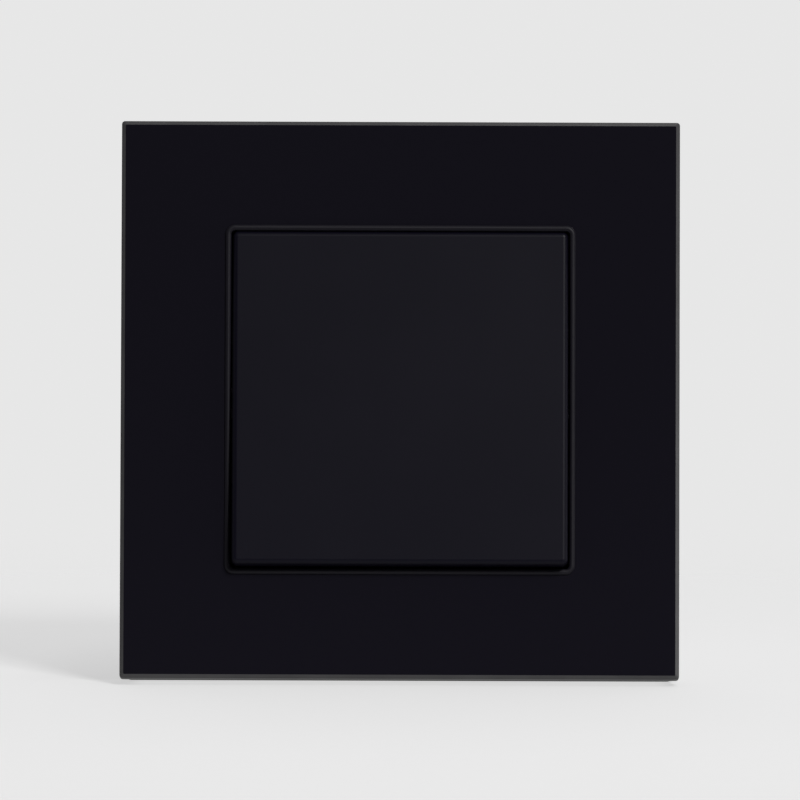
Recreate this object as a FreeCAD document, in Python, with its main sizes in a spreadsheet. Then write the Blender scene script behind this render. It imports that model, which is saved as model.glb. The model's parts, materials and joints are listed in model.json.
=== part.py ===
"""Intermediate switch with a glass front: a double changeover rocker switch for a square wall box.

Frame: X to the right, Z up, and the front faces -Y. The wall plane is y = 0 and the origin lies in
the middle of the two box screw slots. A "front" is a distance from the wall plane towards the
room, so it is -y, and what lies inside the wall box has a negative front.
"""

import FreeCAD
import Part
import Sketcher
import math
import os
import re
from FreeCAD import Placement, Rotation, Vector

doc = FreeCAD.newDocument("intermediate_switch")
sheet = doc.addObject("Spreadsheet::Sheet", "Sizes")

# Driving dimensions, in millimetres and degrees
SIZES = {
    # Glass plate and what it stands on
    "glass_side": 88.0,
    "glass_thick": 3.8,
    "glass_bevel": 0.6,
    "glass_corner": 0.5,
    "bevel_corner": 0.15,
    "opening_gap": 0.15,
    "tape_thick": 0.4,
    "tape_inset": 3.0,
    "tape_band": 8.0,
    # Carrier behind the glass
    "carrier_depth": 5.6,
    "carrier_inset": 0.3,
    "carrier_corner": 1.5,
    "carrier_wall": 1.8,
    "carrier_skin": 1.2,
    "carrier_gap": 0.3,
    "collar_wall": 1.2,
    "rib_thick": 1.0,
    "rib_place": 9.0,
    "rib_lift": 0.4,
    # Trim ring round the rocker
    "ring_margin": 5.3,
    "flange_reach": 0.3,
    "flange_seat": 0.02,
    "ring_wall": 0.65,
    "ring_corner": 1.2,
    "ring_round": 0.46,
    "lip_height": 0.5,
    "web_thick": 1.2,
    "web_band": 4.4,
    "leg_place": 13.0,
    "leg_width": 5.0,
    "leg_thick": 1.2,
    "hook_depth": 1.2,
    "hook_reach": 0.7,
    "leg_gap": 0.2,
    # Rocker
    "rocker_gap": 0.22,
    "rocker_face": 1.6,
    "rocker_skirt": 1.2,
    "rocker_depth": 4.8,
    "rocker_corner": 0.9,
    "rocker_round": 0.8,
    "mould_corner": 0.6,
    "face_proud": 1.3,
    "pivot_below": 4.0,
    "rest_tilt": 3.0,
    "pin_radius": 1.2,
    "pin_play": 0.05,
    "pin_end_gap": 0.2,
    "ear_half": 3.0,
    "ear_below": 2.2,
    "rocker_rib": 1.0,
    "rib_reach": 1.8,
    "rib_clear": 3.0,
    # Drive lever and its clips
    "flange_width": 30.0,
    "flange_height": 16.0,
    "flange_thick": 1.6,
    "clip_gap": 0.1,
    "clip_thick": 1.2,
    "clip_width": 8.0,
    "nib": 0.5,
    "tube_wall": 0.75,
    "tube_web": 1.6,
    "tube_roof": 1.5,
    "web_reach": 9.0,
    # Plungers and their springs
    "plunger_radius": 1.6,
    "plunger_play": 0.05,
    "nose_radius": 1.1,
    "nose_round": 1.0,
    "nose_length": 2.35,
    "plunger_sink": 0.15,
    "plunger_body": 4.5,
    "plunger_gap": 0.1,
    "wire": 0.35,
    "coil_radius": 1.2,
    "coil_turns": 7.0,
    "spring_gap": 0.1,
    # Contact blades
    "pole_place": 8.5,
    "blade_axis_depth": 8.0,
    "blade_swing": 6.0,
    "blade_thick": 0.7,
    "blade_half": 9.4,
    "blade_width": 5.0,
    "knife_radius": 0.8,
    "knife_play": 0.05,
    "saddle_rise": 0.95,
    "saddle_wall": 0.65,
    "saddle_width": 4.0,
    "contact_place": 7.8,
    "contact_radius": 1.3,
    "contact_thick": 0.6,
    "contact_round": 0.2,
    "contact_play": 0.08,
    # Strips
    "strip_thick": 0.8,
    "strip_width": 3.8,
    "pad_width": 5.0,
    "link_width": 2.6,
    "bridge_half": 1.3,
    "dip_half": 0.8,
    "dip_leg": 3.4,
    "foot_drop": 2.4,
    "foot_start": 1.5,
    "foot_reach": 2.0,
    "step_inset": 0.3,
    # Terminals
    "terminal_inset": 5.5,
    "terminal_width": 7.0,
    "terminal_length": 6.6,
    "terminal_depth": 8.0,
    "terminal_round": 0.4,
    "wire_bore": 2.0,
    "bore_below": 3.2,
    "screw_radius": 1.6,
    "screw_play": 0.05,
    "screw_out": 2.4,
    "screw_head_radius": 2.4,
    "screw_head": 1.6,
    "slot_width": 0.8,
    "slot_deep": 0.8,
    # Base and cover
    "base_side": 44.0,
    "base_corner": 1.5,
    "base_rim": 1.2,
    "room_half": 10.6,
    "room_side_gap": 1.3,
    "fit_gap": 0.1,
    "ear_out": 5.5,
    "ear_thick": 1.6,
    "ear_near": 6.0,
    "ear_far": 16.0,
    "cover_inset": 0.6,
    "cover_thick": 1.4,
    "slot_clear": 0.5,
    # Strap
    "strap_side": 70.0,
    "strap_thick": 1.2,
    "strap_corner": 3.0,
    "strap_window": 40.0,
    "window_corner": 2.0,
    "box_screw_spacing": 60.3,
    "box_slot_half": 1.9,
    "box_slot_length": 6.6,
    "box_head_radius": 4.3,
    "box_head_height": 3.4,
    "lug_place": 18.0,
    "lug_width": 8.0,
    "lug_front": 4.0,
    "lug_edge": 0.5,
    "lug_window": 4.4,
    "lug_window_high": 1.2,
    "tab_gap": 0.2,
    "tab_thick": 1.2,
    "rivet_radius": 1.2,
    "rivet_play": 0.05,
    "rivet_head": 2.0,
    "rivet_head_high": 0.7,
    "rivet_gap": 0.4,
    "rivet_out": 2.9,
    "rivet_z": 11.0,
    # Earth terminal
    "earth_place": 30.6,
    "earth_width": 7.0,
    "earth_length": 6.0,
    "earth_depth": 7.0,
    "spigot_radius": 1.5,
}

for row, (word, number) in enumerate(SIZES.items(), start=1):
    sheet.set(f"A{row}", word)
    sheet.set(f"B{row}", str(number))
    sheet.setAlias(f"B{row}", word)
doc.recompute()

FUNCTIONS = ("sin", "cos", "tan")

# Sizes and places that follow from the sheet. Each is text for an expression.
GLASS_BACK = "(carrier_depth + tape_thick)"
GLASS_FRONT = f"({GLASS_BACK} + glass_thick)"
LIP_FRONT = f"({GLASS_FRONT} + lip_height)"
PIVOT_FRONT = f"({LIP_FRONT} + face_proud - pivot_below)"
RING_OUTER = "(base_side + 2 * ring_margin)"
COVER_SIDE = "(base_side - 2 * cover_inset)"
RING_FLANGE = f"({RING_OUTER} + 2 * flange_reach)"
OPENING = f"({RING_OUTER} + 2 * opening_gap)"
OPENING_CORNER = "(ring_corner + opening_gap)"
RING_INNER = f"({RING_OUTER} - 2 * ring_wall)"
ROCKER_SIDE = f"({RING_INNER} - 2 * rocker_gap)"
CARRIER_SIDE = "(glass_side - 2 * carrier_inset)"
CARRIER_INNER = f"({CARRIER_SIDE} - 2 * carrier_wall)"
CARRIER_OPENING = f"({RING_OUTER} + 2 * carrier_gap)"
COLLAR_OUTER = f"({CARRIER_OPENING} + 2 * collar_wall)"
SKIN_BACK = "(carrier_depth - carrier_skin)"
RIB_BACK = "(strap_thick + rib_lift)"
LEG_Z = f"({RING_OUTER} / 2 - ring_wall - leg_thick / 2)"
BLADE_TOP = "(saddle_rise + blade_thick)"
REACH = f"({PIVOT_FRONT} + blade_axis_depth - {BLADE_TOP} - plunger_gap)"
BORE_RADIUS = "(plunger_radius + plunger_play)"
TUBE_RADIUS = f"({BORE_RADIUS} + tube_wall)"
TUBE_END = f"({REACH} - nose_length + plunger_sink)"
FLANGE_FRONT = "(pivot_below - rocker_face)"
FLANGE_BACK = f"({FLANGE_FRONT} - flange_thick)"
FIXED_TOP = (
    "(-blade_axis_depth + (saddle_rise - contact_thick) * cos(blade_swing)"
    " - (contact_place + contact_radius) * sin(blade_swing) - contact_play)"
)
LINK_FRONT = f"({FIXED_TOP} - contact_thick)"
FLOOR = f"({LINK_FRONT} - strip_thick)"
FOOT_FRONT = f"({FLOOR} - foot_drop)"
FOOT_BACK = f"({FOOT_FRONT} - strip_thick)"
TERMINAL_BACK = f"({FOOT_BACK} - terminal_depth)"
BORE_FRONT = f"({FOOT_BACK} - bore_below)"
BASE_BACK = f"({TERMINAL_BACK} - base_rim)"
TERMINAL_PLACE = "(base_side / 2 - terminal_inset)"
CHAMBER_NEAR = f"({TERMINAL_PLACE} - terminal_length / 2 - fit_gap)"
FOOT_END = f"({TERMINAL_PLACE} + foot_reach)"
STEP_PLACE = f"({CHAMBER_NEAR} - step_inset)"
RIVET_X = "(base_side / 2 + rivet_out)"
KNIFE_WIDTH = "(saddle_width - 4 * fit_gap)"
LUG_Z = "(strap_side / 2 - strap_thick / 2)"
TAB_Z = "(strap_side / 2 + tab_gap + tab_thick / 2)"
LEVER_SLOT_HALF = f"(({PIVOT_FRONT} + cover_thick) * sin(rest_tilt) + {TUBE_RADIUS} + slot_clear)"

LEFT_AND_RIGHT = (("left", -1), ("right", 1))


def sized(text):
    """The expression with each of the sheet's words led to the sheet."""
    return re.sub(
        r"[a-z_]+",
        lambda found: found.group() if found.group() in FUNCTIONS else "Sizes." + found.group(),
        text,
    )


def value(text):
    """What an expression comes to now."""
    return float(sheet.evalExpression(sized(text)))


def link(target, prop, text):
    """Bind one property to an expression on the sheet's words."""
    target.setExpression(prop, sized(text))


def new_body(name):
    body = doc.addObject("PartDesign::Body", name)
    body.Label = name
    return body


def new_sketch(body, plane, x="0", y="0", off="0"):
    """A sketch on one of the body's own planes, moved along its two axes and its normal.

    On XZ_Plane the axes are X and Z and the normal is -Y, towards the front. On YZ_Plane they are
    Y and Z with normal X, and on XY_Plane X and Y with normal Z.
    """
    sketch = body.newObject("Sketcher::SketchObject", body.Label + "_sketch")
    support = next(part for part in body.Origin.OriginFeatures if part.Role == plane)
    sketch.AttachmentSupport = [(support, "")]
    sketch.MapMode = "FlatFace"
    link(sketch, "AttachmentOffset.Base.x", x)
    link(sketch, "AttachmentOffset.Base.y", y)
    link(sketch, "AttachmentOffset.Base.z", off)
    return sketch


def hold(sketch, kind, places, text):
    """Add one sized constraint and bind its number."""
    index = sketch.addConstraint(Sketcher.Constraint(kind, *places, value(text)))
    link(sketch, f"Constraints[{index}]", text)


def line(sketch, start, end):
    return sketch.addGeometry(Part.LineSegment(Vector(*start, 0), Vector(*end, 0)), False)


def arc(sketch, centre, radius, first, last):
    whole = Part.Circle(Vector(*centre, 0), Vector(0, 0, 1), radius)
    turned = Part.ArcOfCircle(whole, math.radians(first), math.radians(last))
    return sketch.addGeometry(turned, False)


def circle(sketch, radius, x="0", y="0"):
    """A circle, held by its radius and its centre's place."""
    centre = Vector(value(x), value(y), 0)
    ring = sketch.addGeometry(Part.Circle(centre, Vector(0, 0, 1), value(radius)), False)
    hold(sketch, "Radius", (ring,), radius)
    place_point(sketch, ring, 3, x, y)


def place_point(sketch, part, end, x, y):
    """Hold one point of a line or circle at a place from the sketch's origin."""
    for kind, text in (("DistanceX", x), ("DistanceY", y)):
        if value(text) == 0 and text == "0":
            axis = -2 if kind == "DistanceX" else -1
            sketch.addConstraint(Sketcher.Constraint("PointOnObject", part, end, axis))
        else:
            hold(sketch, kind, (-1, 1, part, end), text)


def polygon(sketch, corners):
    """A closed outline of straight lines, each corner held by its two places."""
    places = [(value(x), value(y)) for x, y in corners]
    lines = [line(sketch, places[i - 1], places[i]) for i in range(len(places))]
    for i, part in enumerate(lines):
        following = lines[(i + 1) % len(lines)]
        sketch.addConstraint(Sketcher.Constraint("Coincident", part, 2, following, 1))
        place_point(sketch, part, 2, *corners[i])


def rectangle(sketch, width, height, x="0", y="0"):
    """A rectangle round a centre."""
    left, right = f"{x} - {width} / 2", f"{x} + {width} / 2"
    low, high = f"{y} - {height} / 2", f"{y} + {height} / 2"
    polygon(sketch, ((left, low), (right, low), (right, high), (left, high)))


def rounded(sketch, width, height, radius, x="0", y="0"):
    """A rectangle round a centre, with its four corners as tangent arcs of one radius."""
    half_w, half_h, r = value(width) / 2, value(height) / 2, value(radius)
    cx, cy = value(x), value(y)
    inner_w, inner_h = half_w - r, half_h - r
    low = line(sketch, (cx - inner_w, cy - half_h), (cx + inner_w, cy - half_h))
    right = line(sketch, (cx + half_w, cy - inner_h), (cx + half_w, cy + inner_h))
    high = line(sketch, (cx + inner_w, cy + half_h), (cx - inner_w, cy + half_h))
    left = line(sketch, (cx - half_w, cy + inner_h), (cx - half_w, cy - inner_h))
    corners = [
        arc(sketch, (cx + sx * inner_w, cy + sy * inner_h), r, first, first + 90)
        for sx, sy, first in ((1, -1, 270), (1, 1, 0), (-1, 1, 90), (-1, -1, 180))
    ]
    sides = (low, right, high, left)
    for i, bend in enumerate(corners):
        sketch.addConstraint(Sketcher.Constraint("Tangent", sides[i], 2, bend, 1))
        sketch.addConstraint(Sketcher.Constraint("Tangent", bend, 2, sides[(i + 1) % 4], 1))
    for side in (low, high):
        sketch.addConstraint(Sketcher.Constraint("Horizontal", side))
    for side in (left, right):
        sketch.addConstraint(Sketcher.Constraint("Vertical", side))
    for bend in corners[1:]:
        sketch.addConstraint(Sketcher.Constraint("Equal", corners[0], bend))
    hold(sketch, "Radius", (corners[0],), radius)
    hold(sketch, "DistanceX", (-1, 1, left, 2), f"{x} - {width} / 2")
    hold(sketch, "DistanceX", (-1, 1, right, 1), f"{x} + {width} / 2")
    hold(sketch, "DistanceY", (-1, 1, low, 1), f"{y} - {height} / 2")
    hold(sketch, "DistanceY", (-1, 1, high, 1), f"{y} + {height} / 2")


def slot(sketch, length, half_width, x="0", y="0"):
    """A slot along the sketch's first axis: two parallel lines and two half rounds."""
    reach, r = value(length) / 2 - value(half_width), value(half_width)
    cx, cy = value(x), value(y)
    low = line(sketch, (cx - reach, cy - r), (cx + reach, cy - r))
    high = line(sketch, (cx + reach, cy + r), (cx - reach, cy + r))
    right = arc(sketch, (cx + reach, cy), r, 270, 450)
    left = arc(sketch, (cx - reach, cy), r, 90, 270)
    for first, second in ((low, right), (right, high), (high, left), (left, low)):
        sketch.addConstraint(Sketcher.Constraint("Tangent", first, 2, second, 1))
    sketch.addConstraint(Sketcher.Constraint("Horizontal", low))
    hold(sketch, "Radius", (right,), half_width)
    place_point(sketch, right, 3, f"{x} + ({length} / 2 - {half_width})", y)
    hold(sketch, "DistanceX", (-1, 1, left, 3), f"{x} - ({length} / 2 - {half_width})")


def pad(body, sketch, length, both_ways=False):
    """Grow a sketch into material: along its normal, or half to each side of it."""
    before = body.Shape.Volume if body.Tip else 0.0
    feature = body.newObject("PartDesign::Pad", body.Label + "_pad")
    feature.Profile = sketch
    link(feature, "Length", length)
    feature.Midplane = both_ways
    sketch.Visibility = False
    doc.recompute()
    if body.Shape.Volume < before + 1e-6:
        raise RuntimeError(f"{feature.Label} adds nothing")
    return feature


def pocket(body, sketch, length, both_ways=False):
    """Cut a sketch out of the body: against its normal, or half to each side of it."""
    feature = body.newObject("PartDesign::Pocket", body.Label + "_pocket")
    feature.Profile = sketch
    link(feature, "Length", length)
    feature.Midplane = both_ways
    sketch.Visibility = False
    doc.recompute()
    return feature


def edge_names(body, wanted):
    """Names of the tip's edges whose bounding box passes a test."""
    return [f"Edge{i}" for i, edge in enumerate(body.Tip.Shape.Edges, 1) if wanted(edge.BoundBox)]


def dress(body, kind, prop, size, wanted):
    """Round or bevel the tip's edges that pass a test."""
    names = edge_names(body, wanted)
    if not names:
        raise RuntimeError(f"{body.Label} has no edge to dress")
    tip = body.Tip
    feature = body.newObject("PartDesign::" + kind, body.Label + "_" + kind.lower())
    feature.Base = (tip, names)
    link(feature, prop, size)
    doc.recompute()
    return feature


def fillet(body, size, wanted):
    return dress(body, "Fillet", "Radius", size, wanted)


def flat_at(front, least=0.0):
    """A test for edges that lie in the plane at this front, and reach out at least this far."""
    level = -value(front)

    def wanted(box):
        return (
            abs(box.YMin - level) < 1e-4
            and abs(box.YMax - level) < 1e-4
            and max(abs(box.XMin), abs(box.XMax), abs(box.ZMin), abs(box.ZMax)) > least - 1e-4
        )

    return wanted


def set_pose(body, front, tilt="0", x="0"):
    """Stand a piece that is drawn round its own X axis on its pivot, tilted about it."""
    body.Placement = Placement(Vector(0, 0, 0), Rotation(Vector(1, 0, 0), value(tilt)))
    link(body, "Placement.Base.x", x)
    link(body, "Placement.Base.y", f"-{front}")
    link(body, "Placement.Rotation.Angle", tilt)


def glass_plate():
    """Square glass with a ground bevel all round its front and a square opening."""
    body = new_body("glass_plate")
    back = new_sketch(body, "XZ_Plane", off=GLASS_BACK)
    rounded(back, "glass_side", "glass_side", "glass_corner")
    pad(body, back, "(glass_thick - glass_bevel)")
    low = new_sketch(body, "XZ_Plane", off=f"({GLASS_FRONT} - glass_bevel)")
    rounded(low, "glass_side", "glass_side", "glass_corner")
    high = new_sketch(body, "XZ_Plane", off=GLASS_FRONT)
    face_side = "(glass_side - 2 * glass_bevel)"
    rounded(high, face_side, face_side, "bevel_corner")
    bevel = body.newObject("PartDesign::AdditiveLoft", "glass_plate_bevel")
    bevel.Profile = low
    bevel.Sections = [high]
    bevel.Ruled = True
    doc.recompute()
    opening = new_sketch(body, "XZ_Plane", off=GLASS_FRONT)
    rounded(opening, OPENING, OPENING, OPENING_CORNER)
    pocket(body, opening, "glass_thick")


def bonding_tape():
    """Foam tape ring between the glass and its carrier."""
    body = new_body("bonding_tape")
    band = new_sketch(body, "XZ_Plane", off="carrier_depth")
    outer = "(glass_side - 2 * tape_inset)"
    rounded(band, outer, outer, OPENING_CORNER)
    inner = f"({outer} - 2 * tape_band)"
    rounded(band, inner, inner, OPENING_CORNER)
    pad(body, band, "tape_thick")


def frame_carrier():
    """Moulded tray behind the glass, with a collar round the opening, ribs and four snap tabs."""
    body = new_body("frame_carrier")
    outline = new_sketch(body, "XZ_Plane")
    rounded(outline, CARRIER_SIDE, CARRIER_SIDE, "carrier_corner")
    rounded(outline, CARRIER_OPENING, CARRIER_OPENING, OPENING_CORNER)
    pad(body, outline, "carrier_depth")
    hollow = new_sketch(body, "XZ_Plane", off=SKIN_BACK)
    rounded(hollow, CARRIER_INNER, CARRIER_INNER, "carrier_wall")
    rounded(hollow, COLLAR_OUTER, COLLAR_OUTER, "carrier_wall")
    pocket(body, hollow, "carrier_depth")
    lift = new_sketch(body, "XZ_Plane", off=RIB_BACK)
    lift_side = f"({COLLAR_OUTER} + 2 * fit_gap)"
    rounded(lift, lift_side, lift_side, "carrier_wall")
    pocket(body, lift, RIB_BACK)
    ribs = new_sketch(body, "XZ_Plane", off=RIB_BACK)
    reach = f"({CARRIER_SIDE} / 2 - {COLLAR_OUTER} / 2)"
    middle = f"({CARRIER_SIDE} / 4 + {COLLAR_OUTER} / 4)"
    for side in (-1, 1):
        for place in (-1, 1):
            rectangle(ribs, "rib_thick", reach, f"{place} * rib_place", f"{side} * {middle}")
            rectangle(ribs, reach, "rib_thick", f"{side} * {middle}", f"{place} * rib_place")
    pad(body, ribs, f"({SKIN_BACK} - {RIB_BACK})")
    heads = new_sketch(body, "XZ_Plane", off=SKIN_BACK)
    for side in (-1, 1):
        circle(heads, "box_head_radius", f"{side} * box_screw_spacing / 2")
    pocket(body, heads, SKIN_BACK)
    tabs = new_sketch(body, "XZ_Plane", off=RIB_BACK)
    nibs = new_sketch(body, "XZ_Plane", off="(lug_front - lug_edge - lug_window_high + fit_gap)")
    tab_width = "(lug_window - 2 * tab_gap)"
    nib_z = "(strap_side / 2 + tab_gap + tab_thick / 2 - (tab_gap + nib + tab_thick / 2) / 2)"
    for side in (-1, 1):
        for place in (-1, 1):
            x = f"{place} * lug_place"
            rectangle(tabs, tab_width, "tab_thick", x, f"{side} * {TAB_Z}")
            rectangle(nibs, tab_width, "(tab_gap + nib + tab_thick / 2)", x, f"{side} * {nib_z}")
    pad(body, tabs, f"({SKIN_BACK} - {RIB_BACK})")
    pad(body, nibs, "(lug_window_high / 2)")


def module_frame():
    """Trim ring round the rocker: thin proud walls, a floor web and four clip legs."""
    body = new_body("module_frame")
    walls = new_sketch(body, "XZ_Plane", off="strap_thick")
    rounded(walls, RING_OUTER, RING_OUTER, "ring_corner")
    inner_corner = "(ring_corner - ring_wall)"
    rounded(walls, RING_INNER, RING_INNER, inner_corner)
    pad(body, walls, f"({LIP_FRONT} - strap_thick)")
    flange = new_sketch(body, "XZ_Plane", off=f"({GLASS_FRONT} + flange_seat)")
    rounded(flange, RING_FLANGE, RING_FLANGE, "(ring_corner + flange_reach)")
    rounded(flange, RING_INNER, RING_INNER, inner_corner)
    pad(body, flange, "(lip_height - flange_seat)")
    web = new_sketch(body, "XZ_Plane", off="strap_thick")
    window = f"({RING_OUTER} - 2 * web_band)"
    rounded(web, RING_OUTER, RING_OUTER, "ring_corner")
    rounded(web, window, window, "window_corner")
    pad(body, web, "web_thick")
    fillet(body, "ring_round", flat_at(LIP_FRONT))
    legs = new_sketch(body, "XZ_Plane", off="-hook_depth")
    hooks = new_sketch(body, "XZ_Plane", off="-hook_depth")
    for side in (-1, 1):
        for place in (-1, 1):
            x = f"{place} * leg_place"
            rectangle(legs, "leg_width", "leg_thick", x, f"{side} * {LEG_Z}")
            hook_z = f"({LEG_Z} + hook_reach / 2)"
            rectangle(hooks, "leg_width", "(leg_thick + hook_reach)", x, f"{side} * {hook_z}")
    pad(body, legs, "(hook_depth + strap_thick + web_thick / 2)")
    pad(body, hooks, "(hook_depth - fit_gap)")
    heads = new_sketch(body, "XZ_Plane", off="(strap_thick + box_head_height)")
    for side in (-1, 1):
        circle(heads, "box_head_radius", f"{side} * box_screw_spacing / 2")
    pocket(body, heads, "box_head_height")
    rivets = new_sketch(body, "XZ_Plane", off="(strap_thick + web_thick)")
    for side in (-1, 1):
        for place in (-1, 1):
            circle(rivets, "(rivet_head + rivet_gap)", f"{side} * {RIVET_X}", f"{place} * rivet_z")
    pocket(body, rivets, "web_thick")
    sockets = new_sketch(body, "YZ_Plane", x=f"-{PIVOT_FRONT}")
    circle(sockets, "(pin_radius + pin_play)")
    pocket(body, sockets, f"(2 * {RING_OUTER})", both_ways=True)


def rocker():
    """Square rocker cover, drawn round its pivot axis and tilted to the pressed-top position."""
    body = new_body("rocker")
    rim = "(pivot_below - rocker_depth)"
    block = new_sketch(body, "XZ_Plane", off=rim)
    rounded(block, ROCKER_SIDE, ROCKER_SIDE, "rocker_corner")
    pad(body, block, "rocker_depth")
    fillet(body, "rocker_round", flat_at("pivot_below"))
    hollow = new_sketch(body, "XZ_Plane", off=FLANGE_FRONT)
    inner = f"({ROCKER_SIDE} - 2 * rocker_skirt)"
    rounded(hollow, inner, inner, "mould_corner")
    pocket(body, hollow, "rocker_depth")
    rib_span = f"({ROCKER_SIDE} - rocker_skirt)"
    upright_ribs = new_sketch(body, "XZ_Plane", off=f"({FLANGE_FRONT} - rib_reach)")
    cross_ribs = new_sketch(body, "XZ_Plane", off=f"({FLANGE_FRONT} - rib_reach)")
    for side in (-1, 1):
        upright_x = f"{side} * (flange_width / 2 + rib_clear)"
        rectangle(upright_ribs, "rocker_rib", rib_span, upright_x)
        cross_z = f"{side} * (flange_height / 2 + rib_clear)"
        rectangle(cross_ribs, rib_span, "rocker_rib", "0", cross_z)
    pad(body, upright_ribs, "rib_reach")
    pad(body, cross_ribs, "rib_reach")
    ears = new_sketch(body, "XZ_Plane", off="-ear_below")
    ear_x = f"({ROCKER_SIDE} / 2 - rocker_skirt / 2)"
    for side in (-1, 1):
        rectangle(ears, "rocker_skirt", "(2 * ear_half)", f"{side} * {ear_x}")
    pad(body, ears, f"(ear_below + {FLANGE_FRONT})")
    pin_end = f"({RING_OUTER} / 2 - pin_end_gap)"
    for side in (-1, 1):
        pin = new_sketch(body, "YZ_Plane", off=f"({side} * ({pin_end} + {ear_x}) / 2)")
        circle(pin, "pin_radius")
        pad(body, pin, f"({pin_end} - {ear_x})", both_ways=True)
    clips = new_sketch(body, "XZ_Plane", off=f"({FLANGE_BACK} - clip_gap - nib)")
    nibs = new_sketch(body, "XZ_Plane", off=f"({FLANGE_BACK} - clip_gap - nib)")
    for side in (-1, 1):
        clip_x = "(flange_width / 2 + clip_gap + clip_thick / 2)"
        rectangle(clips, "clip_thick", "clip_width", f"{side} * {clip_x}")
        nib_x = "(flange_width / 2 + clip_gap + (clip_thick / 2 - nib) / 2)"
        rectangle(nibs, "(nib + clip_thick / 2)", "clip_width", f"{side} * {nib_x}")
    pad(body, clips, f"({FLANGE_FRONT} - {FLANGE_BACK} + clip_gap + nib)")
    pad(body, nibs, "nib")
    set_pose(body, PIVOT_FRONT, "-rest_tilt")


def drive_lever():
    """Lever under the rocker: a flange that the clips hold, and a webbed pair of plunger tubes."""
    body = new_body("drive_lever")
    flange = new_sketch(body, "XZ_Plane", off=FLANGE_BACK)
    rounded(flange, "flange_width", "flange_height", "mould_corner")
    pad(body, flange, "flange_thick")
    tubes = new_sketch(body, "XZ_Plane", off=f"-{TUBE_END}")
    for side in (-1, 1):
        circle(tubes, TUBE_RADIUS, f"{side} * pole_place")
    pad(body, tubes, f"({TUBE_END} + {FLANGE_BACK} + flange_thick / 2)")
    web = new_sketch(body, "XZ_Plane", off="-web_reach")
    rectangle(web, "(2 * pole_place)", "tube_web")
    pad(body, web, f"(web_reach + {FLANGE_BACK} + flange_thick / 2)")
    bores = new_sketch(body, "XZ_Plane", off="-tube_roof")
    for side in (-1, 1):
        circle(bores, BORE_RADIUS, f"{side} * pole_place")
    pocket(body, bores, f"({TUBE_END} - tube_roof)")
    set_pose(body, PIVOT_FRONT, "-rest_tilt")


def plunger(name, side):
    """Turned plunger: a guide body and a narrower nose with a round end."""
    body = new_body(name)
    guide = new_sketch(body, "XZ_Plane", off=f"-({REACH} - nose_length)")
    circle(guide, "plunger_radius")
    pad(body, guide, "plunger_body")
    nose = new_sketch(body, "XZ_Plane", off=f"-{REACH}")
    circle(nose, "nose_radius")
    pad(body, nose, "(nose_length + plunger_body / 2)")
    fillet(body, "nose_round", flat_at(f"-{REACH}"))
    set_pose(body, PIVOT_FRONT, "-rest_tilt", x=f"{side} * pole_place")


def plunger_spring(name, side):
    """Helical spring in the lever's tube, in quarter turns, each an arc through three points."""
    back = value(f"{REACH} - nose_length - plunger_body - spring_gap")
    roof = value("tube_roof + spring_gap")
    radius, wire, turns = value("coil_radius"), value("wire"), value("coil_turns")
    rise = (back - roof - wire) / turns

    def point(turn):
        angle = 2 * math.pi * turn
        depth = roof + wire / 2 + rise * turn
        return Vector(radius * math.cos(angle), depth, radius * math.sin(angle))

    steps = int(round(4 * turns))
    arcs = [
        Part.Arc(point(i / 4), point((i + 0.5) / 4), point((i + 1) / 4)).toShape()
        for i in range(steps)
    ]
    path = Part.Wire(arcs)
    ahead = arcs[0].tangentAt(arcs[0].FirstParameter)
    section = Part.Wire(Part.Circle(point(0), ahead, wire / 2).toShape())
    solid = path.makePipeShell([section], True, False)
    if not solid.isValid() or solid.Volume < 0:
        solid = solid.reversed()
    spring = doc.addObject("Part::Feature", name)
    spring.Label = name
    spring.Shape = solid
    spring.Placement = Placement(
        Vector(side * value("pole_place"), -value(PIVOT_FRONT), 0),
        Rotation(Vector(1, 0, 0), -value("rest_tilt")),
    )
    length = 2 * math.pi * radius * turns
    print(name, "volume over section times length", solid.Volume / (math.pi * wire**2 / 4 * length))
    print(name, "least gap between turns", round(rise - wire, 3))


def contact_blade(name, side):
    """See-saw blade with a saddle that rides on the knife edge, drawn round its rocking axis."""
    body = new_body(name)
    plate = new_sketch(body, "XZ_Plane", off="saddle_rise")
    rounded(plate, "blade_width", "(2 * blade_half)", "contact_round")
    pad(body, plate, "blade_thick")
    saddle = new_sketch(body, "XZ_Plane")
    rectangle(saddle, "saddle_width", "(2 * (knife_radius + knife_play + saddle_wall))")
    pad(body, saddle, "(saddle_rise + blade_thick / 2)")
    arch = new_sketch(body, "YZ_Plane")
    circle(arch, "(knife_radius + knife_play)")
    pocket(body, arch, "(2 * blade_width)", both_ways=True)
    set_pose(body, "-blade_axis_depth", "blade_swing", x=f"{side} * pole_place")


def blade_tips(name, side):
    """The two silver contact rivets under a blade."""
    tips = []
    for end in (-1, 1):
        tip = doc.addObject("Part::Cylinder", f"{name}_{'lower' if end < 0 else 'upper'}")
        link(tip, "Radius", "contact_radius")
        link(tip, "Height", "contact_thick")
        tip.Placement = Placement(Vector(0, 0, 0), Rotation(Vector(1, 0, 0), 90))
        link(tip, "Placement.Base.y", "-(saddle_rise - contact_thick)")
        link(tip, "Placement.Base.z", f"{end} * contact_place")
        tips.append(tip)
    pair = doc.addObject("Part::Compound", name)
    pair.Label = name
    pair.Links = tips
    doc.recompute()
    set_pose(pair, "-blade_axis_depth", "blade_swing", x=f"{side} * pole_place")


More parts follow.
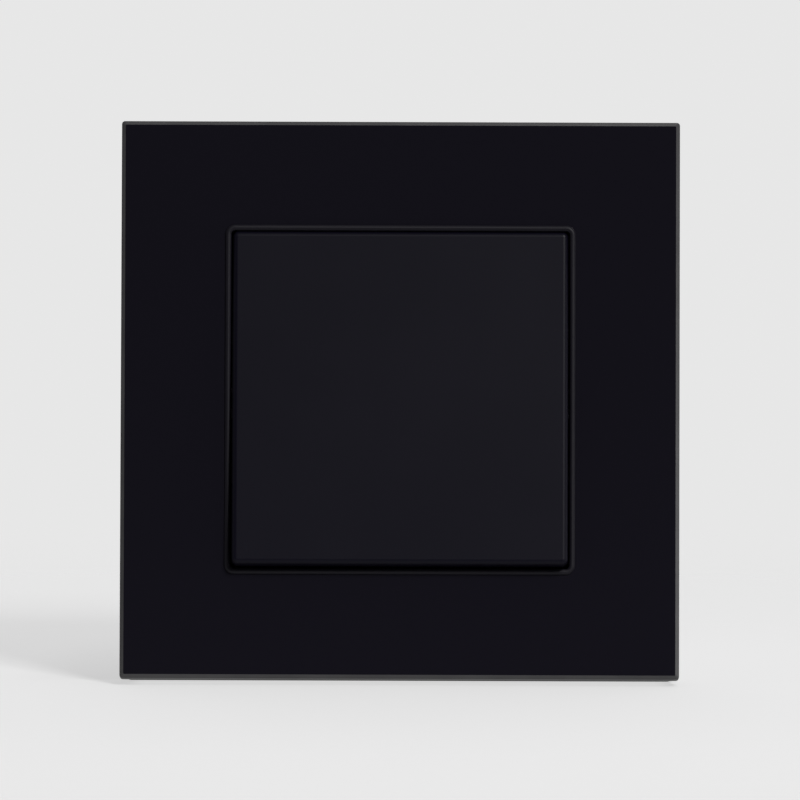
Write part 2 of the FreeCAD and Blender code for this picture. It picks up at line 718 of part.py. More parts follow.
def common_strip(name, side):
    """Feed strip: a foot that runs up to the input terminal and the knife edge for the blade."""
    body = new_body(name)
    x = f"({side} * pole_place)"
    foot = new_sketch(body, "XZ_Plane", off=FOOT_BACK)
    run = f"({FOOT_END} + foot_start)"
    rectangle(foot, "strip_width", run, x, f"(({FOOT_END} - foot_start) / 2)")
    pad(body, foot, "strip_thick")
    upright = new_sketch(body, "XZ_Plane", off=f"({FOOT_BACK} + strip_thick / 2)")
    rectangle(upright, KNIFE_WIDTH, "(2 * knife_radius)", x)
    pad(body, upright, f"(-blade_axis_depth - {FOOT_BACK} - strip_thick / 2)")
    edge = new_sketch(body, "YZ_Plane", x="blade_axis_depth", off=x)
    circle(edge, "knife_radius")
    pad(body, edge, KNIFE_WIDTH, both_ways=True)


def link_pad(sketch, pole, end):
    """The outline of the pad under one fixed contact."""
    rectangle(sketch, "pad_width", "link_width", f"({pole} * pole_place)", f"({end} * contact_place)")


def output_run(body, pole):
    """The strip from a lower pad to its output terminal, stepped down to the terminal's level."""
    x = f"({pole} * pole_place)"
    run = new_sketch(body, "XZ_Plane", off=FLOOR)
    run_z = f"((contact_place + {STEP_PLACE}) / 2)"
    rectangle(run, "strip_width", f"({STEP_PLACE} - contact_place)", x, f"(-1 * {run_z})")
    pad(body, run, "strip_thick")
    leg = new_sketch(body, "XZ_Plane", off=FOOT_BACK)
    rectangle(leg, "strip_width", "strip_thick", x, f"(-1 * ({STEP_PLACE} - strip_thick / 2))")
    pad(body, leg, f"({LINK_FRONT} - {FOOT_BACK})")
    foot = new_sketch(body, "XZ_Plane", off=FOOT_BACK)
    length = f"({FOOT_END} - {STEP_PLACE} + strip_thick)"
    rectangle(foot, "strip_width", length, x, f"(-1 * ({FOOT_END} - {length} / 2))")
    pad(body, foot, "strip_thick")


def cross_link_upper():
    """Flat link from the upper left contact to the lower right one, and on to its terminal."""
    body = new_body("cross_link_upper")
    far, near = "(pole_place)", "bridge_half"
    high, low = "(contact_place + link_width / 2)", "(contact_place - link_width / 2)"
    flat = new_sketch(body, "XZ_Plane", off=FLOOR)
    polygon(
        flat,
        (
            (f"-{far}", low),
            (f"-{near}", low),
            (f"-{near}", f"-{high}"),
            (far, f"-{high}"),
            (far, f"-{low}"),
            (near, f"-{low}"),
            (near, high),
            (f"-{far}", high),
        ),
    )
    pad(body, flat, "strip_thick")
    for pole, end in ((-1, 1), (1, -1)):
        contact = new_sketch(body, "XZ_Plane", off=FLOOR)
        link_pad(contact, pole, end)
        pad(body, contact, "strip_thick")
    output_run(body, 1)


def cross_link_lower():
    """Link from the lower left contact to the upper right one, which dips under the flat link."""
    body = new_body("cross_link_lower")
    for pole, end in ((-1, -1), (1, 1)):
        arm = new_sketch(body, "XZ_Plane", off=FLOOR)
        x = f"({pole} * (pole_place + dip_leg - strip_thick) / 2)"
        rectangle(arm, "(pole_place - dip_leg + strip_thick)", "link_width", x, f"({end} * contact_place)")
        pad(body, arm, "strip_thick")
        contact = new_sketch(body, "XZ_Plane", off=FLOOR)
        link_pad(contact, pole, end)
        pad(body, contact, "strip_thick")
        leg = new_sketch(body, "XZ_Plane", off=FOOT_BACK)
        leg_x = f"({pole} * (dip_leg - strip_thick / 2))"
        rectangle(leg, "strip_thick", "link_width", leg_x, f"({end} * contact_place)")
        pad(body, leg, f"({LINK_FRONT} - {FOOT_BACK})")
        toe = new_sketch(body, "XZ_Plane", off=FOOT_BACK)
        toe_x = f"({pole} * (dip_leg - dip_half) / 2)"
        rectangle(toe, "(dip_leg + dip_half)", "link_width", toe_x, f"({end} * contact_place)")
        pad(body, toe, "strip_thick")
        if pole < 0:
            dip = new_sketch(body, "XZ_Plane", off=FOOT_BACK)
            rectangle(dip, "(2 * dip_half)", "(2 * contact_place)")
            pad(body, dip, "strip_thick")
    output_run(body, -1)


def fixed_tips(name, places):
    """The two silver contacts on one link strip."""
    tips = []
    for pole, end in places:
        tip = doc.addObject("Part::Cylinder", f"{name}_{'left' if pole < 0 else 'right'}")
        link(tip, "Radius", "contact_radius")
        link(tip, "Height", "contact_thick")
        tip.Placement = Placement(Vector(0, 0, 0), Rotation(Vector(1, 0, 0), 90))
        link(tip, "Placement.Base.x", f"{pole} * pole_place")
        link(tip, "Placement.Base.y", f"-{LINK_FRONT}")
        link(tip, "Placement.Base.z", f"{end} * contact_place")
        tips.append(tip)
    pair = doc.addObject("Part::Compound", name)
    pair.Label = name
    pair.Links = tips
    doc.recompute()


def terminal(name, pole, end):
    """Brass block with a wire tunnel along Z and a screw hole from the rear."""
    body = new_body(name)
    x, z = f"({pole} * pole_place)", f"({end} * {TERMINAL_PLACE})"
    block = new_sketch(body, "XZ_Plane", off=TERMINAL_BACK)
    rounded(block, "terminal_width", "terminal_length", "terminal_round", x, z)
    pad(body, block, "terminal_depth")
    tunnel = new_sketch(body, "XY_Plane", x=x, y=f"-{BORE_FRONT}", off=z)
    circle(tunnel, "wire_bore")
    pocket(body, tunnel, "(2 * terminal_length)", both_ways=True)
    screw = new_sketch(body, "XZ_Plane", off=BORE_FRONT)
    circle(screw, "(screw_radius + screw_play)", x, z)
    pocket(body, screw, "terminal_depth")


def screw(name, x, z, tip, head_front, head_high):
    """Cheese head screw from the rear: its shank from the tip, its head and the driver slot."""
    shank = doc.addObject("Part::Cylinder", name + "_shank")
    link(shank, "Radius", "screw_radius")
    link(shank, "Height", f"({tip} - {head_front} + {head_high} / 2)")
    head = doc.addObject("Part::Cylinder", name + "_head")
    link(head, "Radius", "screw_head_radius")
    link(head, "Height", head_high)
    for part, front in ((shank, tip), (head, head_front)):
        part.Placement = Placement(Vector(0, 0, 0), Rotation(Vector(1, 0, 0), -90))
        link(part, "Placement.Base.x", x)
        link(part, "Placement.Base.y", f"-{front}")
        link(part, "Placement.Base.z", z)
    whole = doc.addObject("Part::Fuse", name + "_whole")
    whole.Base = shank
    whole.Tool = head
    driver = doc.addObject("Part::Box", name + "_slot")
    link(driver, "Length", "(3 * screw_head_radius)")
    link(driver, "Width", "(2 * slot_deep)")
    link(driver, "Height", "slot_width")
    link(driver, "Placement.Base.x", f"({x} - 1.5 * screw_head_radius)")
    link(driver, "Placement.Base.y", f"({head_high} - {head_front} - slot_deep)")
    link(driver, "Placement.Base.z", f"({z} - slot_width / 2)")
    slotted = doc.addObject("Part::Cut", name)
    slotted.Base = whole
    slotted.Tool = driver
    doc.recompute()
    return slotted


def terminal_screws():
    """The four terminal screws, backed out for wiring."""
    screws = []
    for pole_name, pole in LEFT_AND_RIGHT:
        for end_name, end in (("in", 1), ("out", -1)):
            x, z = f"({pole} * pole_place)", f"({end} * {TERMINAL_PLACE})"
            tip = f"({BORE_FRONT} - wire_bore - fit_gap)"
            head = f"({TERMINAL_BACK} - screw_out)"
            screws.append(screw(f"screw_{end_name}_{pole_name}", x, z, tip, head, "screw_head"))
    group = doc.addObject("Part::Compound", "terminal_screws")
    group.Label = "terminal_screws"
    group.Links = screws
    doc.recompute()


def switch_base():
    """Moulded base: contact room, channels for the strips, four terminal chambers and the ears."""
    body = new_body("switch_base")
    block = new_sketch(body, "XZ_Plane", off=BASE_BACK)
    rounded(block, "base_side", "base_side", "base_corner")
    pad(body, block, f"(-1 * {BASE_BACK})")
    ears = new_sketch(body, "XZ_Plane", off="-ear_thick")
    ear_z = "((ear_near + ear_far) / 2)"
    for side in (-1, 1):
        rectangle(ears, "(base_side + 2 * ear_out)", "(ear_far - ear_near)", "0", f"{side} * {ear_z}")
    pad(body, ears, "ear_thick")
    rebate = new_sketch(body, "XZ_Plane")
    seat = f"({COVER_SIDE} + 2 * fit_gap)"
    rounded(rebate, seat, seat, "mould_corner")
    pocket(body, rebate, "cover_thick")
    room = new_sketch(body, "XZ_Plane", off="-cover_thick")
    room_width = "(2 * (pole_place + blade_width / 2 + room_side_gap))"
    rounded(room, room_width, "(2 * room_half)", "mould_corner")
    pocket(body, room, f"(-cover_thick - {FLOOR})")
    channel_depth = f"(-cover_thick - {FOOT_BACK})"
    channel = "(strip_width + 2 * fit_gap)"
    for pole in (-1, 1):
        x = f"({pole} * pole_place)"
        feed = new_sketch(body, "XZ_Plane", off="-cover_thick")
        start = "(-foot_start - fit_gap)"
        rectangle(feed, channel, f"({CHAMBER_NEAR} - {start})", x, f"(({CHAMBER_NEAR} + {start}) / 2)")
        pocket(body, feed, channel_depth)
        drop = new_sketch(body, "XZ_Plane", off="-cover_thick")
        near = "(room_half - base_corner)"
        rectangle(drop, channel, f"({CHAMBER_NEAR} - {near})", x, f"(-1 * ({CHAMBER_NEAR} + {near}) / 2)")
        pocket(body, drop, channel_depth)
        for end in (-1, 1):
            chamber = new_sketch(body, "XZ_Plane", off=f"({FOOT_FRONT} + fit_gap)")
            reach = f"(base_side / 2 + base_corner - {CHAMBER_NEAR})"
            middle = f"({end} * ({CHAMBER_NEAR} + {reach} / 2))"
            rectangle(chamber, "(terminal_width + 2 * fit_gap)", reach, x, middle)
            pocket(body, chamber, f"({FOOT_FRONT} + fit_gap - {BASE_BACK})")
    dip = new_sketch(body, "XZ_Plane", off=FLOOR)
    lane, leg = "(dip_half + fit_gap)", "(dip_leg + fit_gap)"
    high, low = "(contact_place + link_width / 2 + fit_gap)", "(contact_place - link_width / 2 - fit_gap)"
    polygon(
        dip,
        (
            (f"-{leg}", f"-{low}"),
            (f"-{leg}", f"-{high}"),
            (lane, f"-{high}"),
            (lane, low),
            (leg, low),
            (leg, high),
            (f"-{lane}", high),
            (f"-{lane}", f"-{low}"),
        ),
    )
    pocket(body, dip, f"({FLOOR} - {FOOT_BACK})")
    rivets = new_sketch(body, "XZ_Plane")
    for side in (-1, 1):
        for place in (-1, 1):
            circle(rivets, "(rivet_radius + rivet_play)", f"{side} * {RIVET_X}", f"{place} * rivet_z")
    pocket(body, rivets, "ear_thick")


def mechanism_cover():
    """Insulating plate in the base's rebate, with the slot for the lever's tubes."""
    body = new_body("mechanism_cover")
    plate = new_sketch(body, "XZ_Plane", off="-cover_thick")
    rounded(plate, COVER_SIDE, COVER_SIDE, "mould_corner")
    slot_width_text = f"(2 * (pole_place + {TUBE_RADIUS} + slot_clear))"
    rounded(plate, slot_width_text, f"(2 * {LEVER_SLOT_HALF})", "mould_corner")
    pad(body, plate, "cover_thick")


def mounting_strap():
    """Pressed steel strap on the wall, with box screw slots, leg slots and four turned-up lugs."""
    body = new_body("mounting_strap")
    plate = new_sketch(body, "XZ_Plane")
    rounded(plate, "strap_side", "strap_side", "strap_corner")
    rounded(plate, "strap_window", "strap_window", "window_corner")
    pad(body, plate, "strap_thick")
    lugs = new_sketch(body, "XZ_Plane")
    for side in (-1, 1):
        for place in (-1, 1):
            rectangle(lugs, "lug_width", "strap_thick", f"{place} * lug_place", f"{side} * {LUG_Z}")
    pad(body, lugs, "lug_front")
    box_slots = new_sketch(body, "XZ_Plane", off="strap_thick")
    for side in (-1, 1):
        slot(box_slots, "box_slot_length", "box_slot_half", f"{side} * box_screw_spacing / 2")
    pocket(body, box_slots, "strap_thick")
    leg_slots = new_sketch(body, "XZ_Plane", off="strap_thick")
    for side in (-1, 1):
        for place in (-1, 1):
            high = "(leg_thick + hook_reach + 2 * leg_gap)"
            z = f"{side} * ({LEG_Z} + hook_reach / 2)"
            rectangle(leg_slots, "(leg_width + 2 * leg_gap)", high, f"{place} * leg_place", z)
    pocket(body, leg_slots, "strap_thick")
    windows = new_sketch(body, "XY_Plane", y="-(lug_front - lug_edge - lug_window_high / 2)")
    for place in (-1, 1):
        rectangle(windows, "lug_window", "lug_window_high", f"{place} * lug_place")
    pocket(body, windows, "(2 * strap_side)", both_ways=True)
    holes = new_sketch(body, "XZ_Plane", off="strap_thick")
    for side in (-1, 1):
        for place in (-1, 1):
            circle(holes, "(rivet_radius + rivet_play)", f"{side} * {RIVET_X}", f"{place} * rivet_z")
    circle(holes, "(spigot_radius + rivet_play)", "0", "-1 * earth_place")
    pocket(body, holes, "strap_thick")


def base_rivets():
    """Four rivets through the strap and the base's ears."""
    rivets = []
    for name, side in LEFT_AND_RIGHT:
        for level, place in (("upper", 1), ("lower", -1)):
            shank = doc.addObject("Part::Cylinder", f"rivet_{level}_{name}_shank")
            link(shank, "Radius", "rivet_radius")
            link(shank, "Height", "(strap_thick + ear_thick + rivet_head_high)")
            heads = []
            for where in ("front", "rear"):
                head = doc.addObject("Part::Cylinder", f"rivet_{level}_{name}_{where}")
                link(head, "Radius", "rivet_head")
                link(head, "Height", "rivet_head_high")
                heads.append(head)
            fronts = ("strap_thick", "(-ear_thick - rivet_head_high)")
            for part, front in zip(heads, fronts):
                link(part, "Placement.Base.y", f"-{front}")
            link(shank, "Placement.Base.y", "(ear_thick + rivet_head_high / 2)")
            for part in (shank, *heads):
                part.Placement.Rotation = Rotation(Vector(1, 0, 0), 90)
                link(part, "Placement.Base.x", f"{side} * {RIVET_X}")
                link(part, "Placement.Base.z", f"{place} * rivet_z")
            rivet = doc.addObject("Part::MultiFuse", f"rivet_{level}_{name}")
            rivet.Shapes = [shank, *heads]
            rivets.append(rivet)
    group = doc.addObject("Part::Compound", "base_rivets")
    group.Label = "base_rivets"
    group.Links = rivets
    doc.recompute()


def earth_terminal():
    """Brass earth block behind the strap, with a spigot staked through it."""
    body = new_body("earth_terminal")
    z = "(-1 * earth_place)"
    block = new_sketch(body, "XZ_Plane", off="-earth_depth")
    rounded(block, "earth_width", "earth_length", "terminal_round", "0", z)
    pad(body, block, "earth_depth")
    spigot = new_sketch(body, "XZ_Plane", off="-terminal_round")
    circle(spigot, "spigot_radius", "0", z)
    pad(body, spigot, "(strap_thick + terminal_round)")
    tunnel = new_sketch(body, "YZ_Plane", x="bore_below", y=z)
    circle(tunnel, "wire_bore")
    pocket(body, tunnel, "(2 * earth_width)", both_ways=True)
    hole = new_sketch(body, "XZ_Plane", off="-bore_below")
    circle(hole, "(screw_radius + screw_play)", "0", z)
    pocket(body, hole, "earth_depth")


def earth_screw():
    """The earth block's screw, backed out like the others."""
    tip = "(-bore_below - wire_bore - fit_gap)"
    piece = screw("earth_screw", "0", "(-1 * earth_place)", tip, "(-earth_depth - screw_out)", "screw_head")
    piece.Label = "earth_screw"


glass_plate()
bonding_tape()
frame_carrier()
module_frame()
rocker()
drive_lever()
for hand, direction in LEFT_AND_RIGHT:
    plunger("plunger_" + hand, direction)
    plunger_spring("plunger_spring_" + hand, direction)
    contact_blade("contact_blade_" + hand, direction)
    blade_tips("blade_tips_" + hand, direction)
    common_strip("common_strip_" + hand, direction)
    terminal("terminal_in_" + hand, direction, 1)
    terminal("terminal_out_" + hand, direction, -1)
cross_link_upper()
cross_link_lower()
fixed_tips("fixed_tips_upper", ((-1, 1), (1, -1)))
fixed_tips("fixed_tips_lower", ((-1, -1), (1, 1)))
terminal_screws()
switch_base()
mechanism_cover()
mounting_strap()
base_rivets()
earth_terminal()
earth_screw()
doc.recompute()

NODES = (
    "glass_plate",
    "bonding_tape",
    "frame_carrier",
    "module_frame",
    "rocker",
    "drive_lever",
    "plunger_left",
    "plunger_right",
    "plunger_spring_left",
    "plunger_spring_right",
    "contact_blade_left",
    "contact_blade_right",
    "blade_tips_left",
    "blade_tips_right",
    "common_strip_left",
    "common_strip_right",
    "cross_link_upper",
    "cross_link_lower",
    "fixed_tips_upper",
    "fixed_tips_lower",
    "terminal_in_left",
    "terminal_in_right",
    "terminal_out_left",
    "terminal_out_right",
    "terminal_screws",
    "switch_base",
    "mechanism_cover",
    "mounting_strap",
    "base_rivets",
    "earth_terminal",
    "earth_screw",
)

for thing in doc.Objects:
    if "Invalid" in thing.State or "Error" in thing.State:
        raise RuntimeError(f"{thing.Label} failed: {thing.State}")
pieces = {name: doc.getObjectsByLabel(name)[0] for name in NODES}
for name, piece in pieces.items():
    if piece.Shape.isNull() or not piece.Shape.isValid():
        raise RuntimeError(f"{name} has no valid shape")

os.makedirs("parts", exist_ok=True)
for name, piece in pieces.items():
    piece.Shape.exportStep(os.path.join("parts", name + ".step"))
    box = piece.Shape.BoundBox
    print(name, len(piece.Shape.Solids), "solids", round(piece.Shape.Volume, 1), "mm3", box)
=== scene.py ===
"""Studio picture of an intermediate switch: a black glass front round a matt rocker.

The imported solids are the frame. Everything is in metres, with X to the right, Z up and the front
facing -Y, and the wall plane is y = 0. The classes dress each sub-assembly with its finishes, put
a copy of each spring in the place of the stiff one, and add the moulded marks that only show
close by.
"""

from __future__ import annotations

import json
import logging
import math
from collections.abc import Mapping, Sequence
from dataclasses import dataclass, field
from enum import Enum
from typing import Any

import bmesh
import bpy
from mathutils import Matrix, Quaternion, Vector

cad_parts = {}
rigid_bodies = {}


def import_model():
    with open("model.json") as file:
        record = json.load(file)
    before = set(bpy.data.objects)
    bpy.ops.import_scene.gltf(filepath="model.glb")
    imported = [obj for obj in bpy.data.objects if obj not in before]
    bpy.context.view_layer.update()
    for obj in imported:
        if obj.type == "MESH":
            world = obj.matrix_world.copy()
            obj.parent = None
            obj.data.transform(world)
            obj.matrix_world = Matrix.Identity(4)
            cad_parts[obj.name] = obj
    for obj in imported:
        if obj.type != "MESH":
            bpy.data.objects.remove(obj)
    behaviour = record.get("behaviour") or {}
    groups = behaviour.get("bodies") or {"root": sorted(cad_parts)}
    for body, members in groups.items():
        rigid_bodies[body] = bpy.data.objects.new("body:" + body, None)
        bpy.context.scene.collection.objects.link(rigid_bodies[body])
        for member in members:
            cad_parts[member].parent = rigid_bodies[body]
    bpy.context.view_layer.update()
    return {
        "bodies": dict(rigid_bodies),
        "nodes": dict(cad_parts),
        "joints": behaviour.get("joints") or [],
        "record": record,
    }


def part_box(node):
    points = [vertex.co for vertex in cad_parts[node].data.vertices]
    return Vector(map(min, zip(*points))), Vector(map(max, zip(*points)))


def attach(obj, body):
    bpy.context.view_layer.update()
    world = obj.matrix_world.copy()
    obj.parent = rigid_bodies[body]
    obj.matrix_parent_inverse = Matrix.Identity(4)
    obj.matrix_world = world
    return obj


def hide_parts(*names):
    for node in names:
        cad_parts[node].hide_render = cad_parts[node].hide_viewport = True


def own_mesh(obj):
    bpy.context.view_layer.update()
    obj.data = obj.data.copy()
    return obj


LOG = logging.getLogger("intermediate_switch")
MM = 0.001
UM = 0.000001

Colour = tuple[float, float, float]
Point = tuple[float, float, float]
Place = tuple[float, float]
Range = tuple[float, float]
WHITE: Colour = (1.0, 1.0, 1.0)
MIDDLE = 0.5  # of a noise's values
ROOT = 0.02 * MM  # how deep a raised mark starts below its surface


class Field:
    """One socket of a node tree, with Python's own arithmetic on the value it carries."""

    def __init__(self, graph: Graph, socket: bpy.types.NodeSocket) -> None:
        """Wrap a socket.

        Args:
            graph: The node graph that the socket is part of.
            socket: The output socket that carries the value.
        """
        self.graph = graph
        self.socket = socket

    def _maths(self, operation: str, first: Field | float, second: Field | float) -> Field:
        """Add one Math node.

        Args:
            operation: The node's operation.
            first: The first number.
            second: The second number.

        Returns:
            The node's result.
        """
        return self.graph.add("ShaderNodeMath", {"operation": operation}, {0: first, 1: second})

    def __add__(self, other: Field | float) -> Field:
        """This plus other."""
        return self._maths("ADD", self, other)

    def __radd__(self, other: float) -> Field:
        """Other plus this."""
        return self._maths("ADD", other, self)

    def __sub__(self, other: Field | float) -> Field:
        """This minus other."""
        return self._maths("SUBTRACT", self, other)

    def __rsub__(self, other: float) -> Field:
        """Other minus this."""
        return self._maths("SUBTRACT", other, self)

    def __mul__(self, other: Field | float) -> Field:
        """This times other."""
        return self._maths("MULTIPLY", self, other)

    def __rmul__(self, other: float) -> Field:
        """Other times this."""
        return self._maths("MULTIPLY", other, self)

    def __neg__(self) -> Field:
        """This with its sign turned."""
        return self._maths("MULTIPLY", self, -1.0)

    def __abs__(self) -> Field:
        """This without its sign."""
        return self._maths("ABSOLUTE", self, 0.0)

    def rise(self, low: float, high: float) -> Field:
        """A smooth step.

        Args:
            low: The value at which the step starts from 0.
            high: The value at which it has come to 1.

        Returns:
            The step, from 0 to 1.
        """
        settings = {"interpolation_type": "SMOOTHSTEP"}
        inputs = {0: self, 1: low, 2: high, 3: 0.0, 4: 1.0}
        return self.graph.add("ShaderNodeMapRange", settings, inputs)


class Graph:
    """A node tree, with the few calls that the finishes and the studio are written in."""

    def __init__(self, tree: bpy.types.NodeTree) -> None:
        """Take over a node tree and empty it.

        Args:
            tree: The tree of a material or of the world.
        """
        self.tree = tree
        tree.nodes.clear()

    def node(
        self,
        kind: str,
        settings: Mapping[str, Any] | None = None,
        inputs: Mapping[int | str, Any] | None = None,
    ) -> bpy.types.Node:
        """Make a node, set it up, and then give or link its inputs.

        Args:
            kind: The node's type.
            settings: Its properties by name.
            inputs: A number, a colour or a Field for each socket, by name or place.

        Returns:
            The new node.
        """
        made = self.tree.nodes.new(kind)
        for name, value in (settings or {}).items():
            setattr(made, name, value)
        for name, value in (inputs or {}).items():
            if isinstance(value, Field):
                self.tree.links.new(value.socket, made.inputs[name])
            else:
                made.inputs[name].default_value = value
        return made

    def add(
        self,
        kind: str,
        settings: Mapping[str, Any] | None = None,
        inputs: Mapping[int | str, Any] | None = None,
        output: int | str = 0,
    ) -> Field:
        """Make a node as node() does, and give one of its outputs.

        Args:
            kind: The node's type.
            settings: Its properties by name.
            inputs: The values or Fields of its sockets.
            output: The wanted output, by name or place.

        Returns:
            That output.
        """
        return Field(self, self.node(kind, settings, inputs).outputs[output])

    def place(self) -> Field:
        """The point on the surface, in the object's own metres."""
        return self.add("ShaderNodeTexCoord", output="Object")

    def facing(self) -> Field:
        """The surface's direction, along the object's own axes."""
        return self.add("ShaderNodeTexCoord", output="Normal")

    def split(self, vector: Field) -> tuple[Field, Field, Field]:
        """The three parts of a vector."""
        parts = self.node("ShaderNodeSeparateXYZ", None, {0: vector}).outputs
        return Field(self, parts[0]), Field(self, parts[1]), Field(self, parts[2])

    def stretch(self, vector: Field, factors: Point) -> Field:
        """A vector with each part times its own factor."""
        return self.add("ShaderNodeVectorMath", {"operation": "MULTIPLY"}, {0: vector, 1: factors})

    def offset(self, vector: Field, start: Point) -> Field:
        """The way from a start to a vector's point."""
        return self.add("ShaderNodeVectorMath", {"operation": "SUBTRACT"}, {0: vector, 1: start})

    def length(self, vector: Field) -> Field:
        """How long a vector is."""
        return self.add("ShaderNodeVectorMath", {"operation": "LENGTH"}, {0: vector}, "Value")

    def noise(self, where: Field, size: float, detail: float, rough: float) -> Field:
        """Soft noise.

        Args:
            where: The point to read it at.
            size: How large its patches are, in metres.
            detail: How many finer octaves it has.
            rough: How strong the finer octaves are.

        Returns:
            A value about 0.5, from 0 to 1.
        """
        inputs = {"Vector": where, "Scale": 1.0 / size, "Detail": detail, "Roughness": rough}
        return self.add("ShaderNodeTexNoise", {"normalize": True}, inputs, "Fac")

    def cells(self, where: Field, size: float, output: str = "Distance") -> Field:
        """Voronoi cells.

        Args:
            where: The point to read them at.
            size: How large a cell is, in metres.
            output: The wanted output.

        Returns:
            The distance to the cell's middle, or the cell's own colour.
        """
        inputs = {"Vector": where, "Scale": 1.0 / size}
        return self.add("ShaderNodeTexVoronoi", None, inputs, output)

    def tint(self, mask: Field, under: Colour | Field, over: Colour | Field) -> Field:
        """Mix two colours.

        Args:
            mask: 0 for the first colour and 1 for the second.
            under: The first colour.
            over: The second colour.

        Returns:
            The mixed colour.
        """
        first = under if isinstance(under, Field) else (*under, 1.0)
        second = over if isinstance(over, Field) else (*over, 1.0)
        return self.add("ShaderNodeMix", {"data_type": "RGBA"}, {0: mask, 6: first, 7: second}, 2)

    def relief(self, height: Field, depth: float) -> Field:
        """Bump.

        Args:
            height: The height, from 0 to 1.
            depth: How high 1 stands above 0, in metres.

        Returns:
            The bent normal.
        """
        inputs = {"Height": height, "Distance": depth, "Strength": 1.0}
        return self.add("ShaderNodeBump", None, inputs)


@dataclass(frozen=True)
class Finish:
    """What a piece is made of; each kind paints its own shader."""

    name: str

    def paint(self, graph: Graph) -> dict[str, Any]:
        """Work out the shader's sockets.

        Args:
            graph: The material's graph.

        Returns:
            A number, a colour or a Field for each socket that isn't at its default.
        """
        raise NotImplementedError

    def material(self) -> bpy.types.Material:
        """Make the material, or give the one that was made before.

        Returns:
            The material.
        """
        known = bpy.data.materials.get(self.name)
        if known is not None and known.get("dressed"):
            return known
        made = bpy.data.materials.new(self.name)
        made.name = self.name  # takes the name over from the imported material
        made.use_nodes = True
        made["dressed"] = True
        graph = Graph(made.node_tree)
        surface = graph.add("ShaderNodeBsdfPrincipled", None, self.paint(graph))
        graph.node("ShaderNodeOutputMaterial", None, {"Surface": surface})
        return made


@dataclass(frozen=True)
class BackedGlass(Finish):
    """Float glass over a black print, polished in front and ground along its edges."""

    print_colour: Colour = (0.0134, 0.0122, 0.0194)
    ground_colour: Colour = (0.092, 0.090, 0.094)
    worn_colour: Colour = (0.116, 0.114, 0.118)
    squareness: Range = (0.80, 0.96)
    wheel_way: Point = (1.0, 9.0, 1.0)
    wheel_mark: float = 0.9 * MM
    wheel_depth: float = 5.0 * UM
    patch: float = 9.0 * MM
    patch_range: Range = (0.35, 0.70)
    smear_way: Point = (1.0, 1.0, 2.2)
    smear: float = 26.0 * MM
    face_rough: float = 0.045
    smear_rough: float = 0.03
    ground_rough: float = 0.24
    wheel_rough: float = 0.14
    ior: float = 1.52

    def paint(self, graph: Graph) -> dict[str, Any]:
        """Deep black in front, satin grey where the wheel has cut.

        Args:
            graph: The material's graph.

        Returns:
            The shader's sockets.
        """
        place = graph.place()
        _, out, _ = graph.split(graph.facing())
        polished = (-out).rise(*self.squareness)
        ground = 1.0 - polished
        cut = graph.stretch(place, self.wheel_way)
        wheel = graph.noise(cut, self.wheel_mark, detail=4.0, rough=0.62)
        worn = graph.noise(place, self.patch, detail=3.0, rough=0.55).rise(*self.patch_range)
        edge = graph.tint(worn, self.ground_colour, self.worn_colour)
        wiped = graph.stretch(place, self.smear_way)
        smears = graph.noise(wiped, self.smear, detail=4.0, rough=0.6)
        face_rough = self.face_rough + smears * self.smear_rough
        ground_rough = self.ground_rough + wheel * self.wheel_rough
        return {
            "Base Color": graph.tint(polished, edge, self.print_colour),
            "Roughness": polished * face_rough + ground * ground_rough,
            "IOR": self.ior,
            "Normal": graph.relief(wheel * ground, self.wheel_depth),
        }


@dataclass(frozen=True)
class MouldedPlastic(Finish):
    """Injection-moulded plastic with the mould's grain, faint flow bands and a little bloom."""

    colour: Colour = (0.02, 0.02, 0.02)
    bloom: Colour = (0.024, 0.024, 0.024)
    rough: float = 0.4
    rough_spread: float = 0.10
    grain: float = 0.16 * MM
    grain_depth: float = 2.0 * UM
    pit_size: float = 1.7
    pit_share: float = 0.4
    band: float = 14.0 * MM
    flow: Point = (1.0, 1.0, 1.0)
    bloom_range: Range = (0.30, 0.75)
    pore_share: float = 0.2
    pore_rough: float = 0.6
    ior: float = 1.49
    see_through: float = 0.0
    scatter: Point = (1.0, 0.85, 0.7)
    scatter_reach: float = 0.8 * MM

    def paint(self, graph: Graph) -> dict[str, Any]:
        """A body colour, its bloom in slow bands, and a fine spark-cut grain.

        Args:
            graph: The material's graph.

        Returns:
            The shader's sockets.
        """
        place = graph.place()
        slow = graph.noise(graph.stretch(place, self.flow), self.band, detail=3.0, rough=0.5)
        pores = graph.noise(place, self.grain, detail=3.0, rough=0.6)
        pits = graph.cells(place, self.grain * self.pit_size)
        grain = pores * (1.0 - self.pit_share) + pits * self.pit_share
        bloom = slow.rise(*self.bloom_range) * (1.0 - self.pore_share) + pores * self.pore_share
        uneven = (slow - MIDDLE) + (pores - MIDDLE) * self.pore_rough
        sockets: dict[str, Any] = {
            "Base Color": graph.tint(bloom, self.colour, self.bloom),
            "Roughness": self.rough + uneven * self.rough_spread,
            "IOR": self.ior,
            "Normal": graph.relief(grain, self.grain_depth),
        }
        if self.see_through > 0.0:
            sockets["Subsurface Weight"] = self.see_through
            sockets["Subsurface Radius"] = self.scatter
            sockets["Subsurface Scale"] = self.scatter_reach
        return sockets


